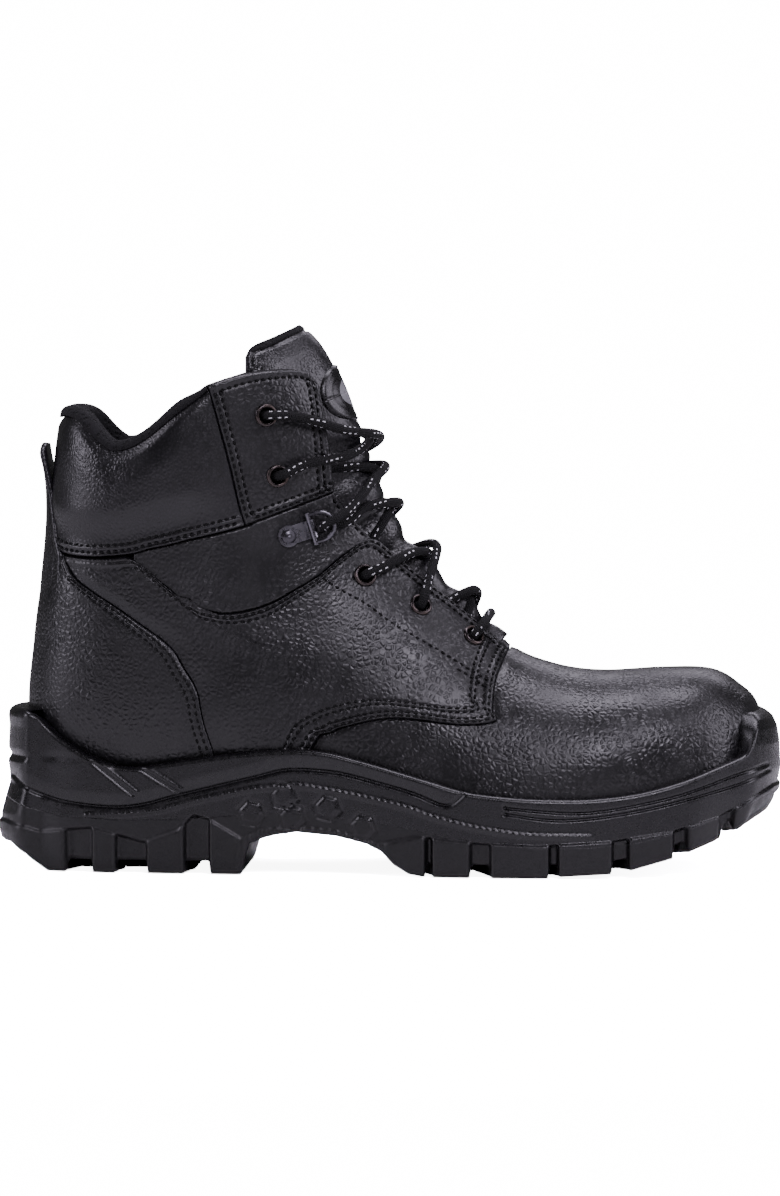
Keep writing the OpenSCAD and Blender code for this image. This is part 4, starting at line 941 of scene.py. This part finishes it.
def outline_points():
    """Plan of the sole at its lip, once round from the back of the heel over the lateral side."""
    def edge(s, b, thickness):
        a, n = skin(s, b), out(s, b)
        return a[:2] + unit(n[:2]) * thickness

    def flank(i, side):
        s, b = spot(*LIP[i])
        return edge(s, side * b, WALL + 3 * (1 - float(ease((i - 1) / 4))))

    heel = [0.84, 0.885, 0.93, 0.965]
    toe = [0.225, 0.18, 0.135, 0.09, 0.045, 0.001]
    sides = range(1, len(LIP) - 1)
    p = [edge(HEEL_S, b, HEEL_WALL) for b in [0.9999] + heel[::-1]]
    p += [flank(i, 1) for i in sides]
    p += [edge(TOE_S, b, TOE_WALL) for b in toe + [-b for b in toe[::-1]]]
    p += [flank(i, -1) for i in sides[::-1]]
    p += [edge(HEEL_S, -b, HEEL_WALL) for b in heel]
    p = np.array(p)
    k = len(p)
    dense = np.array([bend4(p[i - 1], p[i], p[(i + 1) % k], p[(i + 2) % k], j / 24)
                      for i in range(k) for j in range(24)])
    # a light smoothing of the joins between the spline's pieces
    for _ in range(60):
        dense = 0.5 * dense + 0.25 * (np.roll(dense, 1, 0) + np.roll(dense, -1, 0))
    closed = np.vstack([dense, dense[:1]])
    l = lengths(closed)
    d = np.linspace(0, l[-1], int(l[-1] / OUTLINE_STEP), endpoint=False)
    q = np.stack([np.interp(d, l, closed[:, i]) for i in (0, 1)], -1)
    t = unit(np.roll(q, -2, 0) - np.roll(q, 2, 0))
    return q, np.stack([-t[:, 1], t[:, 0]], -1)


def lip_height(x):
    """Height of the lip, with the toe bumper and the heel lip rising at the two ends."""
    z = table(LIP, x, True) + 16.4 * ease((x - 141) / 10.5)
    return z + table(HEEL_RISE, x, True)


def wall_thickness(x):
    return WALL + 4 * ease((-97 - x) / 34) + 2.5 * ease((x - 135) / 8)


# radius of the rounded lip
LIP_R = 1.9


def make_sole():
    plan, normal = outline_points()
    # the outline runs back, lateral side, toe, medial side, so its left hand is the inside
    if np.sum((plan - plan.mean(0)) * normal) < 0:
        normal = -normal
    n = len(plan)
    x = plan[:, 0]
    # 1 where the wall faces forward at the toe, and where it faces back at the heel
    front = np.clip(normal[:, 0], 0, 1) ** 1.5 * ease((x - 118) / 22)
    behind = np.clip(-normal[:, 0], 0, 1) ** 1.5 * ease((-118 - x) / 16)
    lip = lip_height(x)
    thick_here = wall_thickness(x)
    join = table(JOIN, x)
    floor = table(BOTTOM, x) + LUG * gap_at(x, 0.9)

    def ring(off, z):
        return np.concatenate([plan + normal * off[:, None], z[:, None]], 1)

    rings = []
    # from inside the upper over the rounded lip
    reach = 1 + 2.2 * front + 1.6 * behind
    dive = 2.2 * front + 1.4 * behind
    for inside, drop in ((3.0, 1.6 + 4 * dive), (0.8, 0.8 + dive), (-1.2, 0.35), (-2.8, 0.1)):
        o = -thick_here - inside * (reach if inside > 0 else 1)
        o -= front * table(TOE_SIDE, lip) + behind * table(HEEL_SIDE, lip)
        rings.append(ring(np.minimum(o, -LIP_R - 0.05), lip - drop))
    for a in np.linspace(0, math.pi / 2, 7):
        z = lip - LIP_R * (1 - math.cos(a))
        o = -LIP_R * (1 - math.sin(a)) + wall_offset(x, z, front, behind) * math.sin(a)
        o -= (1 - math.sin(a)) * (front * table(TOE_SIDE, z) + behind * table(HEEL_SIDE, z))
        rings.append(ring(o, z))
    rows = 70
    for k in range(1, rows + 1):
        z = lip - LIP_R + (join - lip + LIP_R) * k / rows
        rings.append(ring(wall_offset(x, z, front, behind), z))
    # under the upper, back to the first ring
    well_in = np.full(n, -15.0)
    rings.append(ring(well_in, join))
    rings.append(ring(well_in, np.maximum(lip - 20, join + 1)))
    rings.append(ring(-thick_here - 4.0, np.maximum(lip - 8, join + 2)))
    quads = closed_quads(len(rings), n, wrap=True)
    cup = mesh_object("sole_cup", np.concatenate(rings), quads, SOLE)
    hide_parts("midsole")
    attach(cup, "boot")

    # outsole: wall below the joint, tread, and a flat top closed along a middle line
    rings = []
    rows = 44
    for k in range(rows + 1):
        f = k / rows
        z = join + (floor - join) * f
        o = wall_offset(x, z, front, behind)
        o -= 0.9 * ease((f - 0.93) / 0.07)
        rings.append(ring(o, z))
    edge = rings[-1][:, :2]
    mid_x = np.clip(x, -112, 108)
    mid = np.stack([mid_x, toe_swing(mid_x)], -1)
    width = np.linalg.norm(edge - mid, axis=1)
    inner = 46
    for k in range(1, inner):
        f = (k / inner) ** 1.12
        p = edge + (mid - edge) * f
        rings.append(np.concatenate([p, tread_height(p, width * f)[:, None]], 1))
    rings.append(np.concatenate([mid, tread_height(mid, width)[:, None]], 1))
    rings.append(np.concatenate([mid, (join - 0.1)[:, None]], 1))
    quads = closed_quads(len(rings), n, wrap=True)
    tread = mesh_object("sole_tread", np.concatenate(rings), quads, TREAD)
    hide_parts("outsole")
    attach(tread, "boot")


def tread_height(p, inset):
    """Height of the underside: slanted grooves between the side lugs, a channel with blocks."""
    x, y = p[:, 0], p[:, 1]
    v = np.abs(y - toe_swing(x))
    base = table(BOTTOM, x)
    slant = np.where(x > 10, 0.3, -0.18) * inset
    gap = gap_at(x + slant, 1.2)
    heel = ease((x + 125) / 2) * ease((-66 - x) / 2) * ease((17 - v) / 1.6)
    ball = ease((x - 21) / 2) * ease((112 - x) / 2) * ease((24 - v) / 1.6)
    channel = np.maximum(heel, ball)
    pitch = 18.0
    # the blocks under the forefoot point forward
    cell = np.abs((x + np.where(x > 0, 0.35, 0.0) * v + 200) % pitch - pitch / 2)
    block = ease((6.4 - cell) / 1.2) * ease((np.where(x > 0, 20.5, 11.5) - v) / 1.2)
    block *= ease((v - 1.8) / 1.0)
    h = base + LUG * np.maximum(gap * (1 - channel), channel * (1 - block))
    sipe = np.exp(-((v - np.where(x > 0, 34.0, 24.0)) / 0.7) ** 2) * (1 - channel) * (1 - gap)
    arch = ease((x + 58) / 4) * ease((2 - x) / 6)
    ribs = ripple(x, 6)
    return h + 1.6 * sipe * (1 - arch) - 0.7 * arch * ribs * ease((inset - 3) / 4)


make_sole()


# ---------------------------------------------------------------- tongue
TONGUE_IN, RIDGE_IN = 8.2, 0.8


def gap_half(s):
    """Half the width of the throat, as a share of the surface."""
    return 0.085 + 0.105 * np.clip((s - 0.45) / 0.28, 0, 1)


def tongue_off(s, b):
    """How far the face of the tongue lies outside the surface."""
    return -TONGUE_IN + (TONGUE_IN - RIDGE_IN) * (1 - ease(np.abs(b) / gap_half(s)))


TONGUE_SIDE = [[0.45, 0.19], [0.5, 0.21], [0.6, 0.27], [0.7, 0.33], [0.8, 0.35], [0.88, 0.35],
               [0.93, 0.33], [0.954, 0.31]]
TONGUE_TOP = [[0.954, 0.31], [0.968, 0.27], [0.979, 0.19], [0.986, 0.11], [0.988, 0]]


TONGUE_RIM = 3.4
LACE_CROSSES = (0.48, 0.53, 0.6, 0.66, 0.735, 0.78)


def make_tongue():
    """The leather face, its mesh rim at the top and the mesh back."""
    low = [[0.45, 0.19], [0.45, 0.1], [0.45, 0], [0.45, -0.1], [0.45, -0.19]]
    p = Patch(low, TONGUE_TOP + medial(TONGUE_TOP[:4][::-1]), TONGUE_SIDE, medial(TONGUE_SIDE),
              fine=("hi", "st", "en"), coarse=1.3)
    edge = np.minimum.reduce([p.d["st"], p.d["en"], p.d["hi"]])
    o = tongue_off(p.s, p.b)
    # soft fullness, pressed in where the lace crosses
    in_gap = ease((gap_half(p.s) - np.abs(p.b)) / 0.07)
    full = 1.2 * ease(edge / 12) + 1.9 * in_gap * ease((0.84 - p.s) / 0.06)
    for s in LACE_CROSSES:
        full -= 2.4 * np.exp(-((p.s - s) / 0.013) ** 2) * ease((0.2 - np.abs(p.b)) / 0.08)
    groove = np.exp(-((edge - TONGUE_RIM) / 0.7) ** 2) * ease((p.s - 0.93) / 0.03)
    o = o + full - 0.9 * groove
    top = at(p.s, p.b, o)
    depth = 5.6 * (ease(edge / 7) * 0.55 + 0.45)
    under = at(p.s, p.b, tongue_off(p.s, p.b) - depth - 1.2 * ease(edge / 3))
    mid = at(p.s, p.b, tongue_off(p.s, p.b) - depth * 0.45)
    # the face ends at the rim line near the top, where the mesh takes over
    high = p.s > 0.958
    roll = (1 - ease(edge / 2.2)) ** 2 * 0.4 + (1 - ease(edge / 8)) ** 2 * 0.6 * ease((p.s - 0.86) / 0.06)
    N = out(p.s, p.b)
    top -= N * roll[..., None]
    rim_cell = high & (edge < TONGUE_RIM)
    cells = rim_cell[:-1, :-1] & rim_cell[1:, 1:]
    v, q = thick(top, mid, ~cells)
    face = mesh_object("tongue_leather", v, q, SMOOTH)
    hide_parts("tongue", "tongue_foam")
    v, q = thick(top - N * 0.15, mid, cells)
    rim_ob = mesh_object("tongue_rim", v, q, MESH)
    v, q = thick(mid - N * 0.4, under)
    back = mesh_object("tongue_mesh_lining", v, q, MESH)
    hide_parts("tongue_lining")
    return [face, rim_ob, back]


def disc_grid():
    """A round grid: two coordinates and the radius, 1 at its edge."""
    rings, around = 14, 56
    r = np.linspace(0, 1, rings)[:, None]
    a = np.linspace(0, 2 * math.pi, around)[None, :]
    return r * np.cos(a), r * np.sin(a), r + 0 * a


BADGE_S = 0.864


def make_badge():
    u, v, r = disc_grid()
    s = BADGE_S + 0.05 * v
    b = 0.125 * u
    rimmed = 0.9 + 0.5 * np.exp(-((r - 0.93) / 0.05) ** 2) + 0.35 * np.exp(-((r - 0.78) / 0.04) ** 2)
    lift = rimmed * ease((1.0 - r) / 0.05 + 0.2) + 1.0
    ground = tongue_off(s, b) + 1.2
    A = at(s, b, ground - 0.9 + lift)
    B = at(s, b, ground - 1.6)
    verts, quads = thick(A, B)
    ob = mesh_object("tongue_badge_rubber", verts, quads, BADGE)
    ob.data.materials.append(SOLE)
    # a pale middle, and the rest in black rubber
    pale = 0.5
    mid = skin(BADGE_S, 0) + SEAT
    for f in ob.data.polygons:
        d = np.array(f.center) * 1000 - mid
        across, up = d[1] / 16, d[2] / 10.6
        f.material_index = 0 if math.hypot(across, up) < pale else 1
    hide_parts("tongue_badge")
    return ob


for piece in make_tongue():
    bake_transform(piece)
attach(make_badge(), "tongue_body")


# ---------------------------------------------------------------- collar lining
def make_collar_lining():
    p = Patch(COLLAR_BAND, COLLAR_RIM, TAB_REAR, round_back(TAB_REAR), fine=(), coarse=1.4)
    m = len(p.s)
    rows = []
    # up the inside and over the top edge of the collar: fraction of height, depth, rise
    path = [[0.02, 8.8, 0], [0.3, 9.6, 0], [0.6, 9.8, 0], [0.85, 9.4, 0], [0.97, 8.6, 0.4],
            [1, 7.4, 1.4], [1, 5.4, 2.2], [1, 3.4, 2.3], [1, 1.9, 1.7], [1, 1.0, 0.7],
            [0.985, 0.8, -0.3]]
    for f, depth, rise in smooth_line(path, 6):
        k = min(f, 1) * (m - 1)
        j = min(int(k), m - 2)
        s = p.s[j] + (k - j) * (p.s[j + 1] - p.s[j])
        b = p.b[j] + (k - j) * (p.b[j + 1] - p.b[j])
        ends = np.minimum(ease(p.d["st"][-1] / 16), ease(p.d["en"][-1] / 16)) * 0.9 + 0.1
        lift = rise * ends - 1.6 * (1 - ends)
        rows.append(at(s, b, -depth) + lift[:, None] * np.array([0, 0, 1]))
    A = np.array(rows)
    T = unit(np.gradient(A, axis=1))
    U = unit(np.gradient(A, axis=0))
    N = unit(np.cross(U, T))
    verts, quads = thick(A, A - 0.9 * N)
    ob = mesh_object("collar_mesh_lining", verts, quads, MESH)
    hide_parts("collar_lining")
    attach(ob, "boot")


make_collar_lining()


# ---------------------------------------------------------------- pull tab
def make_pull_tab():
    """A strap that comes out from under the backstay, lies on the collar and stands off at its top."""
    line = smooth_line([[0.775, 0.5], [0.797, 0.9], [0.81, 1.0], [0.83, 1.3], [0.85, 2.1], [0.866, 3.1],
                        [0.88, 4.3], [0.896, 5.9]], 9)
    half = [[0.775, 0.2], [0.797, 0.19], [0.81, 0.155], [0.83, 0.125], [0.85, 0.1], [0.897, 0.075]]
    v = np.linspace(-1, 1, 41)
    edge = np.abs(v)
    A, B = [], []
    for k, (s, o) in enumerate(line):
        f = k / (len(line) - 1)
        w = table(half, s)
        ss = s - 0.007 * edge ** 4 * ease((f - 0.8) / 0.2)
        crown = 0.4 * (1 - edge ** 6) + 0.3 * np.exp(-((edge - 0.95) / 0.05) ** 2)
        crown -= 0.45 * np.exp(-((edge - 0.84) / 0.04) ** 2)
        face = at(ss, 1 + v * w, o + crown)
        back = at(ss, 1 + v * w, o - 1.5 - 0.8 * f)
        flat = 0.9 * ease((s - 0.845) / 0.04)
        for row in (face, back):
            row[:, 0] += flat * (row[20, 0] - row[:, 0])
        A.append(face)
        B.append(back)
    A, B = np.array(A), np.array(B)
    ends = ease((np.arange(len(line)) - len(line) + 4) / 3)[:, None, None]
    A -= (A - B) * 0.3 * ends
    verts, quads = thick(A, B)
    ob = mesh_object("pull_tab_leather", verts, quads, SMOOTH)
    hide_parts("pull_tab")
    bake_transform(ob)


make_pull_tab()


# ---------------------------------------------------------------- metal parts
def lathe(profile):
    """A closed profile of radius and height turned once round."""
    around = 40
    p = np.array(profile, float)
    a = np.linspace(0, 2 * math.pi, around, endpoint=False)
    V = np.stack([p[:, :1] * np.cos(a), p[:, :1] * np.sin(a), p[:, 1:] + 0 * a], -1)
    k = np.arange(around)
    q = []
    for j in range(len(p)):
        m = (j + 1) % len(p)
        q.append(np.stack([j * around + k, j * around + (k + 1) % around,
                           m * around + (k + 1) % around, m * around + k], -1))
    return V.reshape(-1, 3), np.concatenate(q)


def stand(s, b, lift):
    """Axes and origin of a small part that stands on the surface."""
    p, n = at(s, b, lift), out(s, b)
    t = unit(np.cross([0, 0, 1], n))
    return np.stack([t, np.cross(n, t), n], 0), p


def make_eyelets():
    # the bore, the rolled rim and the outside of the barrel
    rim = [[2.8, -2.2], [2.8, -0.4]]
    rim += [[3.7 - 0.9 * math.cos(a), 0.15 + 0.95 * math.sin(a)] for a in np.linspace(0, math.pi, 11)]
    rim += [[4.6, -0.25], [3.4, -0.3], [3.3, -2.2]]
    V, Q = lathe(rim)
    for side, name in SIDES:
        groups = []
        for i, (s, b) in enumerate(EYELET_SPOTS):
            frame_axes, p = stand(s, side * b, 0.95 if i < 3 else 1.35)
            groups.append((V @ frame_axes + p, Q))
        verts, quads = parts_of(groups)
        ob = mesh_object("eyelet_rings_" + name, verts, quads, GUNMETAL)
        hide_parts("eyelets_" + name)
        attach(ob, "boot")


make_eyelets()


# ---------------------------------------------------------------- lace
LACE_R = 1.9
E = EYELET_SPOTS
CLIP = spot(-39.8, 133.6)
# where the round end of the D ring lies, from the rivet: as far as its bar and half its length
RING_TIP = 9.4 + 3.6 + 5.6 - 0.4
# height of the lace above the surface in the ring
RING_LACE_Z = 6.55


def through(i, side, a, c, inward):
    """The lace through one eyelet, from the side of point a to the side of point c."""
    s, b = E[i][0], side * E[i][1]
    p, n = skin(s, b), out(s, b)
    fa, fc = a - p, c - p
    ta, tc = unit(fa - (fa @ n) * n), unit(fc - (fc @ n) * n)
    up = 0.9 if i < 3 else 1.3
    # on the outside and on the inside: distance from the eyelet's axis, and height
    outside = [[5.2, 3.7 + up], [2.6, 3.6 + up], [0.76, 2.84], [0, 1]]
    inside = [[0, -2.9], [0.76, -4.74], [2.6, -5.5], [5.2, -5.6]]
    before, after = (outside, inside) if inward else (inside[::-1], outside[::-1])
    return [p + ta * d + n * h for d, h in before] + [p + tc * d + n * h for d, h in after]


def on_tongue(s, b, o):
    """A point of the lace that rests on the tongue, raised by o."""
    return at(s, b, tongue_off(s, b) + LACE_R + 0.7 + o)


def across(s0, b0, s1, b1, lift, low, dip=0.0):
    """The lace over the throat: on the tongue if low, else raised clear of the panels' edges."""
    res = []
    for t in (0.3, 0.42, 0.5, 0.58, 0.7):
        s, b = s0 + (s1 - s0) * t - dip * (1 - (2 * t - 1) ** 2), b0 + (b1 - b0) * t
        h = max(lift * (1 - (abs(2 * t - 1) / 0.6) ** 2), 0)
        res.append(on_tongue(s, b, h) if low else at(s, b, 3.6 + h))
    return res


def ring_point(side, x, v, z):
    """A point by the lace ring: x towards the throat, v across, z above the surface."""
    s, b = CLIP[0], side * CLIP[1]
    p, n = skin(s, b), out(s, b)
    f = skin(0.701, side * 0.262) - p
    t = unit(f - (f @ n) * n)
    return p + x * t + v * side * np.cross(n, t) + z * n


def ring_loop(side):
    """The lace turning back in its ring."""
    r, z = 4.4, RING_LACE_Z
    return [ring_point(side, RING_TIP + 3.4, -2, 2.4), ring_point(side, RING_TIP, -1.6, 2.15),
            ring_point(side, RING_TIP - r * 0.71, -0.9, z - r * 0.71),
            ring_point(side, RING_TIP - r, 0, z),
            ring_point(side, RING_TIP - r * 0.71, 0.9, z + r * 0.71),
            ring_point(side, RING_TIP, 1.6, z + r), ring_point(side, RING_TIP + 3.4, 2.2, z + r - 1.2)]


def half_lace(side, lift):
    """From the lowest eyelet of one side up to the end tucked inside the boot."""
    q = -side
    p = through(0, side, at(0.479, 0, 3.6), at(0.505, 0, 0), True)
    p += across(E[0][0], side * E[0][1], E[1][0], q * E[1][1], lift, True)
    p += through(1, q, at(0.505, 0, 0), at(0.565, 0, 0), False)
    p += across(E[1][0], q * E[1][1], E[2][0], side * E[2][1], lift, False)
    p += through(2, side, at(0.565, 0, 0), at(0.64, 0, 0), True)
    p += [on_tongue(0.628, side * 0.13, 0), on_tongue(0.64, side * 0.065, 0),
          on_tongue(0.652, 0, lift), at(0.666, q * 0.065, 2.6 + lift * 0.3), at(0.68, q * 0.13, 2.5)]
    p += ring_loop(q)
    p += [at(0.718, q * 0.085, 5), at(0.73, 0, 2.2 + lift), on_tongue(0.744, side * 0.075, 0),
          on_tongue(0.757, side * 0.15, 0), on_tongue(0.768, side * 0.22, 0)]
    p += through(3, side, at(0.757, side * 0.15, 0), at(0.82, 0, 0), False)
    p += across(E[3][0], side * E[3][1], E[4][0], q * E[4][1], lift, False, 0.045)
    p += through(4, q, at(0.826, 0, 0), at(0.85, q * 0.38, 0), True)
    p += [at(s, q * b, -5.6) for s, b in ((0.84, 0.374), (0.815, 0.381), (0.785, 0.384), (0.75, 0.378),
                                         (0.71, 0.364), (0.68, 0.352), (0.665, 0.346))]
    return p


def flow(p, step):
    """A smooth curve through points that are unevenly spaced."""
    p = np.array(p)
    l = np.linalg.norm(np.diff(p, axis=0), axis=1)
    d = np.diff(p, axis=0) / l[:, None]
    m = np.empty_like(p)
    m[0], m[-1] = d[0], d[-1]
    m[1:-1] = (d[1:] * l[:-1, None] + d[:-1] * l[1:, None]) / (l[:-1] + l[1:])[:, None]
    res = []
    for i in range(len(p) - 1):
        n = max(1, math.ceil(l[i] / step))
        t = (np.arange(n) / n)[:, None]
        res.append((2 * t ** 3 - 3 * t ** 2 + 1) * p[i] + (t ** 3 - 2 * t ** 2 + t) * m[i] * l[i]
                   + (3 * t ** 2 - 2 * t ** 3) * p[i + 1] + (t ** 3 - t ** 2) * m[i + 1] * l[i])
    return np.concatenate(res + [p[-1:]])


def tube(path, r, sides, mat, name, fullness):
    """A round cord along a path, with closed ends."""
    t = unit(np.gradient(path, axis=0))
    u = unit(np.cross(t[0], [0.31, 0.2, 0.93]))
    l = lengths(path) / (2 * r)
    V = []
    for i in range(len(path)):
        u = unit(u - (u @ t[i]) * t[i])
        w = np.cross(t[i], u)
        a = np.linspace(0, 2 * math.pi, sides, endpoint=False)[:, None]
        V.append(path[i] + r * fullness[i] * (np.cos(a) * u + np.sin(a) * w))
    n = len(path)
    V = np.concatenate(V + [path[:1], path[-1:]])
    q = closed_quads(n, sides, True)
    j = np.arange(sides)
    k = (j + 1) % sides
    first, last = np.full(sides, n * sides), np.full(sides, n * sides + 1)
    end = (n - 1) * sides
    caps = np.concatenate([np.stack([j, k, first], -1), np.stack([last, end + k, end + j], -1)])
    # U along the cord in diameters, V once round
    ring, col = np.divmod(q, sides)
    uvq = np.stack([l[ring], col / sides], -1)
    wrap = (col.max(1) == sides - 1) & (col.min(1) == 0)
    uvq[..., 1][wrap[:, None] & (col == 0)] = 1.0
    uv = np.concatenate([uvq.reshape(-1, 2), np.zeros((caps.size, 2))])
    ob = mesh_object(name, V, q, mat, caps, uv)
    return ob, l[-1] * 2 * r


def make_lace():
    upper, lower = half_lace(-1, 4.3), half_lace(1, 0)
    bar = [at(0.479, b, 3.6) for b in (-0.06, 0, 0.06)]
    path = flow(upper[::-1] + bar + lower, 0.9)
    # the cord is pressed a little thinner where it turns in the rings
    turn = [ring_point(side, RING_TIP, 0, RING_LACE_Z) for side in (1, -1)]
    near = np.min([np.linalg.norm(path - c, axis=1) for c in turn], axis=0)
    fullness = 1 - 0.1 * np.exp(-(near / 8) ** 2)
    ob, length = tube(path, LACE_R, 16, LACE, "lace_cord", fullness)
    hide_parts("lace")
    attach(ob, "boot")
    print("lace length mm", round(length))


make_lace()


# ---------------------------------------------------------------- stitches
def make_stitches():
    verts, quads = parts_of(STITCHES)
    ob = mesh_object("stitching", verts, quads, THREAD)
    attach(ob, "boot")


make_stitches()


# ---------------------------------------------------------------- CAD parts that stay
FINISH = {"shank": STEEL, "toe_cap": STEEL, "lasting_board": BOARD, "footbed": CLOTH,
          "cap_edge_strip": FOAM, "heel_counter": COUNTER, "vamp_lining": CLOTH,
          "quarter_lining": CLOTH, "collar_foam": FOAM, "aglets": PLASTIC}
FINISH.update({part + end: DARK_METAL for _, end in SIDES
               for part in ("ring_clip_", "clip_rivet_", "lace_ring_")})
for name, mat in FINISH.items():
    ob = NODES[name]
    ob.data.materials.clear()
    ob.data.materials.append(mat)
    if name != "shank":
        ob.data.polygons.foreach_set("use_smooth", [True] * len(ob.data.polygons))
        ob.data.set_sharp_from_angle(angle=math.radians(38))
    if "clip" in name or name.startswith("lace_ring"):
        bevel = ob.modifiers.new("edge", "BEVEL")
        bevel.width = 0.00018
        bevel.segments = 2
        bevel.limit_method = "ANGLE"


# ---------------------------------------------------------------- stage, light, camera
def studio_floor():
    """A pale floor. The camera sees it brighter than it lights the boot, fading into the background."""
    bpy.ops.mesh.primitive_plane_add(size=12, location=(0, 0, -0.0005))
    ob = bpy.context.object
    ob.name = "floor"
    t = Nodes("floor_white")
    t.tree.nodes.remove(t.bsdf)
    plain_white = t.add("BsdfDiffuse")
    plain_white.inputs["Color"].default_value = (0.8, 0.8, 0.8, 1)
    bright = t.add("BsdfDiffuse")
    bright.inputs["Color"].default_value = (40, 40, 40, 1)
    glow = t.add("Emission")
    glow.inputs["Strength"].default_value = 8
    seen = t.add("AddShader")
    t.link(bright.outputs[0], seen.inputs[0])
    t.link(glow.outputs[0], seen.inputs[1])
    ray = t.add("LightPath").outputs["Is Camera Ray"]
    far = t.add("VectorMath", operation="LENGTH")
    t.link(t.coord.outputs["Object"], far.inputs[0])
    fade = t.span(far.outputs["Value"], 0.28, 0.8)
    clear = t.add("BsdfTransparent")
    surface = plain_white
    for share, other in ((ray, seen), (t.math("MULTIPLY", fade, ray), clear)):
        blend = t.add("MixShader")
        t.link(share, blend.inputs[0])
        t.link(surface.outputs[0], blend.inputs[1])
        t.link(other.outputs[0], blend.inputs[2])
        surface = blend
    t.link(surface.outputs[0], t.tree.nodes["Material Output"].inputs["Surface"])
    ob.data.materials.append(t.mat)


def studio_world():
    """A dim white world, which the camera sees as plain white."""
    world = bpy.data.worlds.new("studio")
    bpy.context.scene.world = world
    world.use_nodes = True
    tree = world.node_tree
    light = tree.nodes["Background"]
    light.inputs["Color"].default_value = (1, 1, 1, 1)
    light.inputs["Strength"].default_value = 0.09
    white = tree.nodes.new("ShaderNodeBackground")
    white.inputs["Strength"].default_value = 20
    ray = tree.nodes.new("ShaderNodeLightPath")
    mix = tree.nodes.new("ShaderNodeMixShader")
    tree.links.new(ray.outputs["Is Camera Ray"], mix.inputs[0])
    tree.links.new(light.outputs[0], mix.inputs[1])
    tree.links.new(white.outputs[0], mix.inputs[2])
    tree.links.new(mix.outputs[0], tree.nodes["World Output"].inputs["Surface"])


# what the camera sees at the boot
FRAME_WIDTH = 0.3115
AIM = Vector((-0.0019, -0.01, 0.108))
BOOT_MIDDLE = (0, 0, 0.1)
# a cool, slightly violet white
LIGHT_TINT = (1.0, 0.935, 1.09)


def soft_box(name, place, size, power):
    """A rectangular light aimed at the middle of the boot."""
    data = bpy.data.lights.new(name, "AREA")
    data.shape = "RECTANGLE"
    data.size, data.size_y = size
    data.energy = power
    data.color = LIGHT_TINT
    ob = bpy.data.objects.new(name, data)
    bpy.context.scene.collection.objects.link(ob)
    ob.location = place
    ob.rotation_euler = (Vector(BOOT_MIDDLE) - Vector(place)).to_track_quat("-Z", "Y").to_euler()


def camera(distance, azimuth, elevation):
    """Looks at the middle of the boot; azimuth swings the camera towards the toe."""
    a, e = math.radians(azimuth), math.radians(elevation)
    direction = Vector((math.sin(a) * math.cos(e), -math.cos(a) * math.cos(e), math.sin(e)))
    place = AIM + direction * distance
    data = bpy.data.cameras.new("camera")
    ob = bpy.data.objects.new("camera", data)
    bpy.context.scene.collection.objects.link(ob)
    ob.location = place
    ob.rotation_euler = (AIM - place).to_track_quat("-Z", "Y").to_euler()
    data.sensor_fit = "HORIZONTAL"
    data.sensor_width = 36
    data.lens = data.sensor_width * distance / FRAME_WIDTH
    data.clip_start = 0.01
    data.clip_end = 60
    bpy.context.scene.camera = ob


studio_floor()
studio_world()
soft_box("key", (0.3, -1.2, 1.0), (0.5, 0.5), 11)
soft_box("top", (0.05, 0.15, 1.3), (1.1, 0.4), 11.5)
soft_box("left", (-1.2, -0.35, 0.6), (0.4, 0.9), 8)
soft_box("right", (1.2, -0.3, 0.7), (0.7, 0.9), 10)
soft_box("back", (0.3, 1.1, 0.9), (0.9, 0.4), 3)
camera(3.0, 3, 3)
